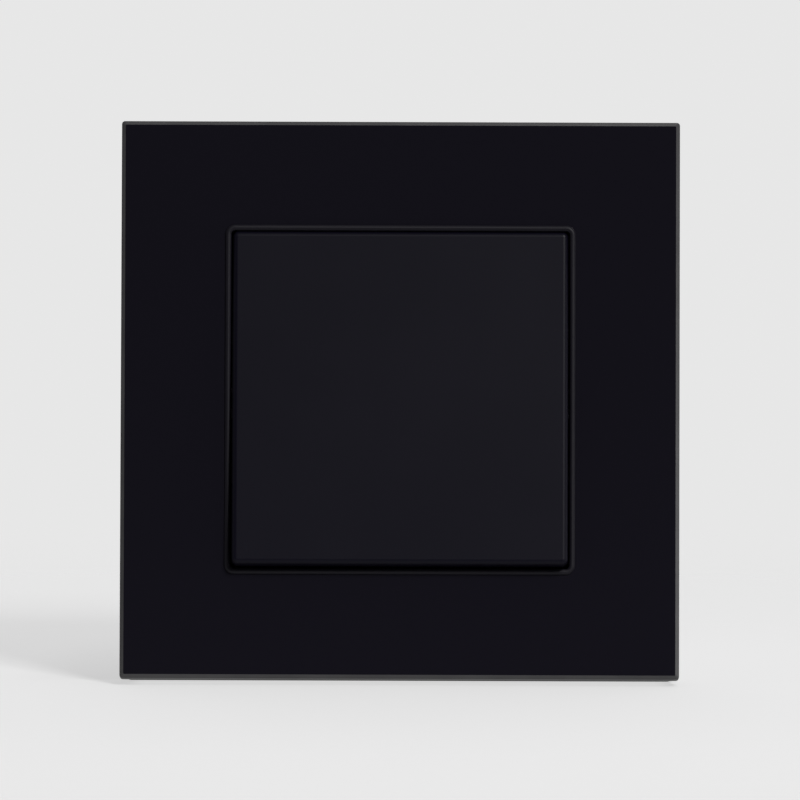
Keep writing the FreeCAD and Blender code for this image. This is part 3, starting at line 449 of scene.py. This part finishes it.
@dataclass(frozen=True)
class FilledThermoset(Finish):
    """Pressed mineral-filled resin: pale grey with fine dark and light filler specks."""

    colour: Colour = (0.53, 0.53, 0.515)
    pale: Colour = (0.60, 0.595, 0.58)
    dark: Colour = (0.27, 0.27, 0.265)
    cloud: float = 7.0 * MM
    pale_range: Range = (0.30, 0.75)
    speck: float = 0.55 * MM
    speck_edge: Range = (0.10, 0.24)
    speck_range: Range = (0.42, 0.60)
    speck_strength: float = 0.7
    fine: float = 0.22 * MM
    fine_share: float = 0.35
    peel: float = 1.1 * MM
    depth: float = 6.0 * UM
    rough: float = 0.46
    cloud_rough: float = 0.16
    speck_rough: float = 0.08
    ior: float = 1.58

    def paint(self, graph: Graph) -> dict[str, Any]:
        """Body colour in slow clouds with specks of filler, and the press tool's faint texture.

        Args:
            graph: The material's graph.

        Returns:
            The shader's sockets.
        """
        place = graph.place()
        cloud = graph.noise(place, self.cloud, detail=4.0, rough=0.55)
        body = graph.tint(cloud.rise(*self.pale_range), self.colour, self.pale)
        specks = 1.0 - graph.cells(place, self.speck).rise(*self.speck_edge)
        shown = specks * cloud.rise(*self.speck_range) * self.speck_strength
        fine = graph.noise(place, self.fine, detail=3.0, rough=0.6)
        peel = graph.noise(place, self.peel, detail=2.0, rough=0.5)
        height = fine * self.fine_share + peel * (1.0 - self.fine_share)
        uneven = (cloud - MIDDLE) * self.cloud_rough + specks * self.speck_rough
        return {
            "Base Color": graph.tint(shown, body, self.dark),
            "Roughness": self.rough + uneven,
            "IOR": self.ior,
            "Normal": graph.relief(height, self.depth),
        }


@dataclass(frozen=True)
class CellFoam(Finish):
    """Closed-cell foam tape with its open cut cells."""

    colour: Colour = (0.012, 0.012, 0.013)
    walls: Colour = (0.03, 0.03, 0.031)
    cell: float = 0.5 * MM
    colour_range: Range = (0.1, 0.6)
    depth_range: Range = (0.0, 0.5)
    depth: float = 60.0 * UM
    rough: float = 0.86
    cell_rough: float = 0.1

    def paint(self, graph: Graph) -> dict[str, Any]:
        """Dull black with round cells.

        Args:
            graph: The material's graph.

        Returns:
            The shader's sockets.
        """
        cells = graph.cells(graph.place(), self.cell)
        return {
            "Base Color": graph.tint(cells.rise(*self.colour_range), self.colour, self.walls),
            "Roughness": self.rough + (cells - MIDDLE) * self.cell_rough,
            "Normal": graph.relief(cells.rise(*self.depth_range), self.depth),
        }


class Working(Enum):
    """How a metal piece got its last surface."""

    ROLLED = "rolled"
    DRAWN = "drawn"
    TURNED = "turned"
    PLATED = "plated"


@dataclass(frozen=True)
class Metal(Finish):
    """Bare or plated metal with the marks of its working, light stains and a dulled skin."""

    colour: Colour = (0.6, 0.6, 0.6)
    stain: Colour = (0.45, 0.45, 0.45)
    rough: float = 0.3
    working: Working = Working.ROLLED
    along: Point = (1.0, 1.0, 1.0)
    mark: float = 0.25 * MM
    mark_depth: float = 2.0 * UM
    mark_share: float = 0.3
    mark_rough: float = 0.16
    skin: float = 5.0 * MM
    skin_range: Range = (0.45, 0.75)
    skin_rough: float = 0.12
    crystal: float = 2.6 * MM
    crystal_rough: float = 0.12
    plated_skin_rough: float = 0.10
    pit: float = 0.4 * MM
    pit_share: float = 0.5

    def paint(self, graph: Graph) -> dict[str, Any]:
        """Metal colour with stains, and marks that run the way the piece was worked.

        Args:
            graph: The material's graph.

        Returns:
            The shader's sockets.
        """
        place = graph.place()
        marks = graph.noise(graph.stretch(place, self.along), self.mark, detail=4.0, rough=0.65)
        skin = graph.noise(place, self.skin, detail=5.0, rough=0.6).rise(*self.skin_range)
        stained = skin * (1.0 - self.mark_share) + marks * self.mark_share
        if self.working is Working.PLATED:
            level, _, _ = graph.split(graph.cells(place, self.crystal, "Color"))
            uneven = (level - MIDDLE) * self.crystal_rough + skin * self.plated_skin_rough
            pits = graph.cells(place, self.pit)
            height = marks * (1.0 - self.pit_share) + pits * self.pit_share
        else:
            uneven = (marks - MIDDLE) * self.mark_rough + skin * self.skin_rough
            height = marks
        return {
            "Base Color": graph.tint(stained, self.colour, self.stain),
            "Metallic": 1.0,
            "Roughness": self.rough + uneven,
            "Normal": graph.relief(height, self.mark_depth),
        }


@dataclass(frozen=True)
class StudioFloor(Finish):
    """A pale table lit softly from below, which fades into the backdrop away from the object.

    The camera sees the paper at its full glow, and every other ray finds it darker, so that it
    doesn't flood the black object with light. The paper's own x axis is the line that the object
    stands on, and its y axis runs to the rear. Under the glass a paler band of glow is painted
    light, which lightens the contact shadow there, and next to the left foot a darker patch of
    glow is a painted shadow, the darkest part of the cast shadow.
    """

    colour: Colour = (0.60, 0.60, 0.60)
    thrown: Colour = (0.34, 0.34, 0.34)
    fibre: float = 1.6 * MM
    fibre_shade: float = 0.985
    rough: float = 0.9
    specular: float = 0.1
    glow: float = 0.541
    thrown_glow: float = 0.38
    far_glow: float = 0.20
    dim_range: Range = (30.0 * MM, 100.0 * MM)
    fade_range: Range = (60.0 * MM, 300.0 * MM)
    half_width: float = 44.0 * MM
    # Painted light: a paler band of glow under the glass, where the contact shadow falls.
    painted_light_band_glow: float = 1.22
    painted_light_band_end: Range = (40.0 * MM, 44.0 * MM)
    painted_light_band_rear: Range = (-1.0 * MM, 2.0 * MM)
    painted_light_band_front: Range = (6.0 * MM, 9.5 * MM)
    # Painted shadow: a darker patch of glow next to the left foot.
    painted_shadow_patch_glow: float = 0.915
    painted_shadow_patch_way: Point = (1.0, 0.22, 1.0)
    painted_shadow_patch_range: Range = (3.0 * MM, 19.0 * MM)
    painted_shadow_patch_front: Range = (-3.0 * MM, 3.0 * MM)

    def glow_with_painted_light_and_shadow(self, graph: Graph, place: Field) -> Field:
        """The glow that the camera sees, paler under the object with painted light and darker next
        to its foot with a painted shadow.

        Args:
            graph: The material's graph.
            place: The point on the paper.

        Returns:
            The glow, as a share of the paper's own.
        """
        x, y, _ = graph.split(place)
        # Painted light: the band under the glass glows paler, lightening the contact shadow there.
        across = 1.0 - abs(x).rise(*self.painted_light_band_end)
        painted_light_band = across * (-y).rise(*self.painted_light_band_rear) * (1.0 - (-y).rise(*self.painted_light_band_front))
        # Painted shadow: the patch next to the left foot glows darker.
        corner = graph.offset(place, (-self.half_width, 0.0, 0.0))
        near_foot = graph.length(graph.stretch(corner, self.painted_shadow_patch_way))
        painted_shadow_patch = (1.0 - near_foot.rise(*self.painted_shadow_patch_range)) * y.rise(*self.painted_shadow_patch_front)
        with_painted_shadow = graph.tint(painted_shadow_patch, WHITE, (self.painted_shadow_patch_glow,) * 3)
        return graph.tint(painted_light_band, with_painted_shadow, (self.painted_light_band_glow,) * 3)

    def material(self) -> bpy.types.Material:
        """Make the paper, see-through beyond its edge.

        Returns:
            The material.
        """
        made = bpy.data.materials.new(self.name)
        made.use_nodes = True
        graph = Graph(made.node_tree)
        place = graph.place()
        seen = graph.add("ShaderNodeLightPath", output="Is Camera Ray")
        fibre = graph.noise(place, self.fibre, detail=4.0, rough=0.6)
        shaded = tuple(part * self.fibre_shade for part in self.colour)
        fresh = graph.tint(fibre, self.colour, shaded)
        distance = graph.length(place)
        # Painted light: the glow that other rays find is a pool of light, brighter near the
        # object's foot and weaker away from it, which lights the object from below.
        away = distance.rise(*self.dim_range)
        painted_light_pool = graph.tint(away, (self.thrown_glow,) * 3, (self.far_glow,) * 3)
        sockets = {
            "Base Color": graph.tint(seen, self.thrown, fresh),
            "Roughness": self.rough,
            "Specular IOR Level": self.specular,
            "Emission Color": graph.tint(seen, painted_light_pool, self.glow_with_painted_light_and_shadow(graph, place)),
            "Emission Strength": self.glow,
        }
        paper = graph.add("ShaderNodeBsdfPrincipled", None, sockets)
        clear = graph.add("ShaderNodeBsdfTransparent")
        parts = {0: distance.rise(*self.fade_range), 1: paper, 2: clear}
        both = graph.add("ShaderNodeMixShader", None, parts)
        graph.node("ShaderNodeOutputMaterial", None, {"Surface": both})
        return made


BLACK_GLASS = BackedGlass("black_glass")
FOAM_TAPE = CellFoam("foam_tape")
CARRIER_PLASTIC = MouldedPlastic(
    "carrier_plastic",
    colour=(0.014, 0.014, 0.015),
    bloom=(0.021, 0.021, 0.022),
    rough=0.48,
    grain=0.3 * MM,
    grain_depth=5.0 * UM,
    flow=(1.0, 1.0, 0.3),
)
RING_PLASTIC = MouldedPlastic(
    "ring_plastic",
    colour=(0.0118, 0.0104, 0.0172),
    bloom=(0.0134, 0.0118, 0.0194),
    rough=0.50,
    ior=1.39,
    rough_spread=0.06,
    grain=0.5 * MM,
    grain_depth=0.6 * UM,
)
ROCKER_PLASTIC = MouldedPlastic(
    "rocker_plastic",
    colour=(0.0056, 0.0048, 0.0126),
    bloom=(0.0066, 0.0056, 0.0140),
    rough=0.40,
    ior=1.305,
    rough_spread=0.05,
    grain=0.14 * MM,
    grain_depth=0.8 * UM,
    band=22.0 * MM,
)
LEVER_PLASTIC = MouldedPlastic(
    "lever_plastic",
    colour=(0.62, 0.60, 0.53),
    bloom=(0.68, 0.66, 0.60),
    rough=0.42,
    grain=0.25 * MM,
    see_through=0.25,
)
PLUNGER_PLASTIC = MouldedPlastic(
    "plunger_plastic",
    colour=(0.46, 0.075, 0.040),
    bloom=(0.53, 0.105, 0.060),
    rough=0.30,
    grain=0.2 * MM,
    see_through=0.1,
)
SPRING_STEEL = Metal(
    "spring_steel",
    colour=(0.50, 0.49, 0.47),
    stain=(0.34, 0.33, 0.31),
    rough=0.26,
    working=Working.DRAWN,
    mark=0.08 * MM,
)
COPPER_ALLOY = Metal(
    "copper_alloy",
    colour=(0.80, 0.44, 0.29),
    stain=(0.52, 0.26, 0.16),
    rough=0.30,
    along=(6.0, 1.0, 1.0),
)
CONTACT_SILVER = Metal(
    "contact_silver",
    colour=(0.86, 0.85, 0.82),
    stain=(0.60, 0.57, 0.50),
    rough=0.24,
    working=Working.TURNED,
    mark=0.15 * MM,
)
STRIP_BRASS = Metal(
    "strip_brass",
    colour=(0.80, 0.61, 0.30),
    stain=(0.55, 0.38, 0.17),
    rough=0.30,
    along=(5.0, 1.0, 1.0),
)
TERMINAL_BRASS = Metal(
    "terminal_brass",
    colour=(0.78, 0.58, 0.27),
    stain=(0.56, 0.39, 0.17),
    rough=0.28,
    working=Working.DRAWN,
    along=(4.0, 4.0, 0.6),
    mark=0.3 * MM,
    mark_depth=4.0 * UM,
)
SCREW_STEEL = Metal(
    "screw_steel",
    colour=(0.66, 0.66, 0.65),
    stain=(0.50, 0.50, 0.46),
    rough=0.27,
    working=Working.PLATED,
    mark=0.12 * MM,
    mark_depth=3.0 * UM,
)
BASE_PLASTIC = FilledThermoset("base_plastic")
COVER_PLASTIC = FilledThermoset(
    "cover_plastic",
    colour=(0.45, 0.45, 0.44),
    pale=(0.52, 0.515, 0.50),
)
STRAP_STEEL = Metal(
    "strap_steel",
    colour=(0.60, 0.61, 0.62),
    stain=(0.47, 0.48, 0.48),
    rough=0.36,
    working=Working.PLATED,
    along=(0.5, 1.0, 6.0),
    mark=0.5 * MM,
    mark_depth=3.0 * UM,
)
RIVET_STEEL = Metal(
    "rivet_steel",
    colour=(0.62, 0.62, 0.61),
    stain=(0.46, 0.46, 0.45),
    rough=0.32,
    working=Working.TURNED,
    mark=0.2 * MM,
)


def dress(frame: Mapping[str, Any], finish: Finish, *nodes: str) -> None:
    """Give CAD nodes their finish.

    Args:
        frame: The loaded frame.
        finish: The finish.
        nodes: The names of the nodes.
    """
    for name in nodes:
        for holder in frame["nodes"][name].material_slots:
            holder.material = finish.material()
        LOG.info("%s dressed as %s", name, finish.name)


def piece(name: str, form: bmesh.types.BMesh, finish: Finish, body: str) -> bpy.types.Object:
    """Turn a finished form into an object that rides on a body.

    Args:
        name: The new object's name.
        form: Its mesh, in the frame's metres; it is used up.
        finish: Its finish, named for a material slot of the record.
        body: The body that carries it.

    Returns:
        The new object.
    """
    mesh = bpy.data.meshes.new(name)
    bmesh.ops.recalc_face_normals(form, faces=form.faces)
    form.to_mesh(mesh)
    form.free()
    mesh.materials.append(finish.material())
    made = bpy.data.objects.new(name, mesh)
    bpy.context.scene.collection.objects.link(made)
    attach(made, body)
    LOG.info("%s made with %d faces", name, len(mesh.polygons))
    return made


def raised(
    form: bmesh.types.BMesh,
    outline: Sequence[Vector],
    back: float,
    high: float,
) -> None:
    """Add a flat raised shape with chamfered rims to the rear of something.

    Args:
        form: The mesh that it is added to.
        outline: Its corners as (x, z), going round once.
        back: The y of the surface that it stands on.
        high: How far it stands out towards +Y.
    """
    count = len(outline)
    centre = sum(outline, Vector((0.0, 0.0))) / count
    chamfer_start, chamfer_inset = 0.6 * high, 0.35 * high
    levels = ((0.0, -ROOT), (0.0, chamfer_start), (chamfer_inset, high))
    rings = []
    for inset, level in levels:
        ring = []
        for corner in outline:
            way = corner - centre
            x, z = centre + way * max(0.0, 1.0 - inset / way.length)
            ring.append(form.verts.new((x, back + level, z)))
        rings.append(ring)
    for low, top in zip(rings, rings[1:]):
        for i in range(count):
            form.faces.new((low[i], low[(i + 1) % count], top[(i + 1) % count], top[i]))
    form.faces.new(rings[-1])
    form.faces.new(tuple(reversed(rings[0])))


def annulus(
    form: bmesh.types.BMesh,
    centre: Point,
    radius: float,
    wide: float,
    high: float,
) -> None:
    """Add a low round rim that faces +Y, as an ejector pin leaves one.

    Args:
        form: The mesh that it is added to.
        centre: The middle of the rim, on the surface that it stands on.
        radius: The rim's middle radius.
        wide: How wide the rim is.
        high: How far it stands out towards +Y.
    """
    steps = 40
    foot, crest = 0.5 * wide, 0.2 * wide
    section = ((-foot, -ROOT), (-crest, high), (crest, high), (foot, -ROOT))
    loops = []
    for i in range(steps):
        turn = 2.0 * math.pi * i / steps
        outwards = Vector((math.cos(turn), 0.0, math.sin(turn)))
        loop = []
        for out, up in section:
            place = Vector(centre) + outwards * (radius + out) + Vector((0.0, up, 0.0))
            loop.append(form.verts.new(place))
        loops.append(loop)
    for i in range(steps):
        here, then = loops[i], loops[(i + 1) % steps]
        for j in range(len(section)):
            k = (j + 1) % len(section)
            form.faces.new((here[j], here[k], then[k], then[j]))


@dataclass
class GlassFront:
    """The glass plate, the tape that holds it, its carrier and the trim ring."""

    frame: Mapping[str, Any]
    skin_back: float = -4.4 * MM
    mark_place: float = 38.4 * MM
    mark_step: float = 20.0 * MM
    mark_radius: float = 1.6 * MM
    mark_width: float = 0.3 * MM
    mark_height: float = 0.07 * MM

    def dress(self) -> None:
        """Give the four nodes their finishes."""
        dress(self.frame, BLACK_GLASS, "glass_plate")
        dress(self.frame, FOAM_TAPE, "bonding_tape")
        dress(self.frame, CARRIER_PLASTIC, "frame_carrier")
        dress(self.frame, RING_PLASTIC, "module_frame")

    def build(self) -> None:
        """Add the ejector marks on the carrier's back."""
        form = bmesh.new()
        rim = (self.mark_radius, self.mark_width, self.mark_height)
        for side in (-1, 1):
            for step in (-1, 1):
                along = step * self.mark_step
                across = side * self.mark_place
                annulus(form, (across, self.skin_back, along), *rim)
                annulus(form, (along, self.skin_back, across), *rim)
        piece("carrier_ejector_marks", form, CARRIER_PLASTIC, "housing")


@dataclass
class RockerGroup:
    """The rocker, the lever that it drives and the two sprung plungers."""

    frame: Mapping[str, Any]
    sides: tuple[str, str] = ("left", "right")

    def dress(self) -> None:
        """Give the nodes their finishes."""
        dress(self.frame, ROCKER_PLASTIC, "rocker")
        dress(self.frame, LEVER_PLASTIC, "drive_lever")
        for side in self.sides:
            dress(self.frame, PLUNGER_PLASTIC, f"plunger_{side}")
            dress(self.frame, SPRING_STEEL, f"plunger_spring_{side}")

    def build(self) -> None:
        """Put a copy of each spring in the place of the stiff one, which is hidden."""
        for side in self.sides:
            self.coil(side)

    def coil(self, side: str) -> None:
        """Copy one spring into a new piece that rides on the rocker group, and hide the stiff one.

        Args:
            side: The side that the spring is on.
        """
        node = f"plunger_spring_{side}"
        joints = {joint["name"]: joint for joint in self.frame["joints"]}
        travel = joints[f"plunger_{side}_travel"]
        inwards = Vector(travel["axis"])
        form = bmesh.new()
        form.from_mesh(self.frame["nodes"][node].data)
        levels = [vertex.co.dot(inwards) for vertex in form.verts]
        roof, length = max(levels), max(levels) - min(levels)
        made = piece(f"plunger_coil_{side}", form, SPRING_STEEL, "rocker_group")
        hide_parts(node)
        left = 1.0 - max(travel["range_m"]) / length
        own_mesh(made)


@dataclass
class ContactSet:
    """The two see-saw blades with their tips, the fixed tips, strips and cross links."""

    frame: Mapping[str, Any]

    def dress(self) -> None:
        """Give the nodes their finishes."""
        dress(self.frame, COPPER_ALLOY, "contact_blade_left", "contact_blade_right")
        tips = ("blade_tips_left", "blade_tips_right", "fixed_tips_upper", "fixed_tips_lower")
        dress(self.frame, CONTACT_SILVER, *tips)
        dress(self.frame, STRIP_BRASS, "common_strip_left", "common_strip_right")
        dress(self.frame, STRIP_BRASS, "cross_link_upper", "cross_link_lower")


@dataclass
class TerminalSet:
    """The four wire clamps, the earth clamp and their screws."""

    frame: Mapping[str, Any]

    def dress(self) -> None:
        """Give the nodes their finishes."""
        clamps = [f"terminal_{way}_{side}" for way in ("in", "out") for side in ("left", "right")]
        dress(self.frame, TERMINAL_BRASS, *clamps, "earth_terminal")
        dress(self.frame, SCREW_STEEL, "terminal_screws", "earth_screw")


@dataclass
class MechanismBox:
    """The strap, the rivets, the base with its cover, and the circuit sign on the base's back."""

    frame: Mapping[str, Any]
    sign_height: float = 0.22 * MM
    line_width: float = 0.55 * MM
    pole: float = 5.2 * MM
    reach: float = 7.2 * MM
    stub: float = 2.6 * MM
    terminal_gap: float = 1.1 * MM
    terminal_radius: float = 0.8 * MM
    terminal_width: float = 0.45 * MM
    mark_across: float = 17.6 * MM
    mark_level: float = 5.0 * MM
    mark_radius: float = 1.5 * MM
    mark_width: float = 0.3 * MM
    mark_height: float = 0.08 * MM
    back: float = field(init=False)

    def __post_init__(self) -> None:
        """Read the y of the base's back from the frame."""
        _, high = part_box("switch_base")
        self.back = high.y

    def dress(self) -> None:
        """Give the nodes their finishes."""
        dress(self.frame, STRAP_STEEL, "mounting_strap")
        dress(self.frame, RIVET_STEEL, "base_rivets")
        dress(self.frame, BASE_PLASTIC, "switch_base")
        dress(self.frame, COVER_PLASTIC, "mechanism_cover")

    def line(self, form: bmesh.types.BMesh, start: Place, end: Place) -> None:
        """Add one raised line to the sign.

        Args:
            form: The sign's mesh.
            start: One end, as (x, z).
            end: The other end.
        """
        first, last = Vector(start), Vector(end)
        along = (last - first).normalized() * self.line_width / 2
        across = Vector((-along.y, along.x))
        first, last = first - along, last + along
        corners = (first - across, last - across, last + across, first + across)
        raised(form, corners, self.back, self.sign_height)

    def build(self) -> None:
        """Add the moulded circuit sign and the ejector marks to the base's back."""
        form = bmesh.new()
        circle = (self.terminal_radius, self.terminal_width, self.sign_height)
        inner, outer = self.reach - self.stub, self.reach + self.terminal_gap
        for level in (-1, 1):
            for pole in (-1, 1):
                x = pole * self.pole
                self.line(form, (x, level * self.reach), (x, level * inner))
                annulus(form, (x, self.back, level * outer), *circle)
        self.line(form, (-self.pole, inner), (self.pole, -inner))
        self.line(form, (self.pole, inner), (-self.pole, -inner))
        piece("circuit_sign", form, BASE_PLASTIC, "housing")
        marks = bmesh.new()
        rim = (self.mark_radius, self.mark_width, self.mark_height)
        for side in (-1, 1):
            for level in (-1, 1):
                centre = (side * self.mark_across, self.back, level * self.mark_level)
                annulus(marks, centre, *rim)
        piece("base_ejector_marks", marks, BASE_PLASTIC, "housing")


@dataclass(frozen=True)
class SoftBox:
    """One soft lamp of the studio."""

    name: str
    place: Point
    aim: Point
    width: float
    height: float
    power: float

    def build(self) -> None:
        """Hang the lamp and turn it to what it lights."""
        data = bpy.data.lights.new(self.name, "AREA")
        data.shape = "RECTANGLE"
        data.size = self.width
        data.size_y = self.height
        data.energy = self.power
        lamp = bpy.data.objects.new(self.name, data)
        bpy.context.scene.collection.objects.link(lamp)
        lamp.location = self.place
        lamp.rotation_mode = "QUATERNION"
        lamp.rotation_quaternion = (Vector(self.aim) - Vector(self.place)).to_track_quat("-Z", "Y")
        LOG.info("lamp %s at %s", self.name, self.place)


@dataclass
class Studio:
    """Floor, backdrop, lamps and camera."""

    backdrop: float = 0.800
    room: float = 0.07
    room_tint: Colour = (1.0, 0.995, 1.01)
    right_light: float = 0.07
    right_range: Range = (0.15, 0.95)
    left_light: float = 0.10
    left_range: Range = (0.70, 1.00)
    above_light: float = 0.10
    above_range: Range = (0.10, 0.95)
    rear_light: float = 0.50
    rear_range: Range = (0.30, 0.95)
    front_shade: float = 0.80
    front_range: Range = (0.35, 0.90)
    lean: float = 9.0
    floor_reach: float = 1.6
    floor_cells: int = 24
    distance: float = 2.4
    below: float = 4.8
    roll: float = 0.19
    film: float = 36.0
    lens: float = 686.0
    clip: Range = (0.1, 50.0)
    aim: Point = (-0.02 * MM, -9.8 * MM, -0.05 * MM)
    lamps: tuple[SoftBox, ...] = (
        SoftBox("key_lamp", (0.67, -1.46, 0.815), (0.0, 0.0, 0.0), 0.42, 0.42, 13.3),
        SoftBox("top_lamp", (0.10, 0.03, 0.50), (0.0, 0.0, 0.0), 0.18, 0.14, 0.07),
        SoftBox("right_panel", (0.45, -0.05, -0.03), (0.0, 0.0, -0.03), 0.24, 0.16, 0.13),
        SoftBox("left_spot", (-0.55, -0.10, 0.24), (0.0, 0.0, 0.0), 0.06, 0.06, 0.008),
    )

    def floor(self) -> None:
        """Lay the paper under the carrier's rear edge, falling away to the front."""
        low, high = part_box("frame_carrier")
        form = bmesh.new()
        count = self.floor_cells
        bmesh.ops.create_grid(form, x_segments=count, y_segments=count, size=self.floor_reach)
        mesh = bpy.data.meshes.new("studio_floor")
        form.to_mesh(mesh)
        form.free()
        mesh.materials.append(StudioFloor("studio_paper").material())
        paper = bpy.data.objects.new("studio_floor", mesh)
        bpy.context.scene.collection.objects.link(paper)
        paper.location = (0.0, high.y, low.z)
        paper.rotation_euler = (math.radians(self.lean), 0.0, 0.0)

    def world(self) -> None:
        """Plain grey for the camera, and a soft room, dark in front, for light and reflections."""
        world = bpy.data.worlds.new("studio")
        bpy.context.scene.world = world
        world.use_nodes = True
        graph = Graph(world.node_tree)
        x, y, z = graph.split(graph.add("ShaderNodeTexCoord", output="Generated"))
        right = x.rise(*self.right_range) * self.right_light
        left = (-x).rise(*self.left_range) * self.left_light
        above = z.rise(*self.above_range) * self.above_light
        rear = y.rise(*self.rear_range) * self.rear_light
        front = (-y).rise(*self.front_range) * self.front_shade
        light = (self.room + right + left + above + rear) * (1.0 - front)
        tinted = {"Color": (*self.room_tint, 1.0), "Strength": light}
        soft = graph.add("ShaderNodeBackground", None, tinted)
        even = {"Color": (*WHITE, 1.0), "Strength": self.backdrop}
        plain = graph.add("ShaderNodeBackground", None, even)
        seen = graph.add("ShaderNodeLightPath", output="Is Camera Ray")
        both = graph.add("ShaderNodeMixShader", None, {0: seen, 1: soft, 2: plain})
        graph.node("ShaderNodeOutputWorld", None, {"Surface": both})

    def camera(self) -> None:
        """Set the camera far away, a little below the middle of the glass."""
        data = bpy.data.cameras.new("camera")
        data.sensor_width = self.film
        data.lens = self.lens
        data.clip_start, data.clip_end = self.clip
        eye = bpy.data.objects.new("camera", data)
        bpy.context.scene.collection.objects.link(eye)
        down = math.radians(self.below)
        away = Vector((0.0, -math.cos(down), -math.sin(down))) * self.distance
        eye.location = Vector(self.aim) + away
        eye.rotation_mode = "QUATERNION"
        turn = Quaternion((0.0, 0.0, 1.0), math.radians(self.roll))
        eye.rotation_quaternion = (-away).to_track_quat("-Z", "Y") @ turn
        bpy.context.scene.camera = eye

    def build(self) -> None:
        """Make the whole studio."""
        self.camera()
        self.floor()
        self.world()
        for lamp in self.lamps:
            lamp.build()
        bpy.context.scene.view_settings.view_transform = "Standard"


def main() -> None:
    """Load the frame, then dress and build each sub-assembly in order."""
    logging.basicConfig(level=logging.INFO, format="%(message)s")
    for thing in list(bpy.data.objects):
        bpy.data.objects.remove(thing)
    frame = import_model()
    Studio().build()
    front = GlassFront(frame)
    front.dress()
    front.build()
    works = RockerGroup(frame)
    works.dress()
    works.build()
    ContactSet(frame).dress()
    TerminalSet(frame).dress()
    box = MechanismBox(frame)
    box.dress()
    box.build()


if __name__ == "__main__":
    main()
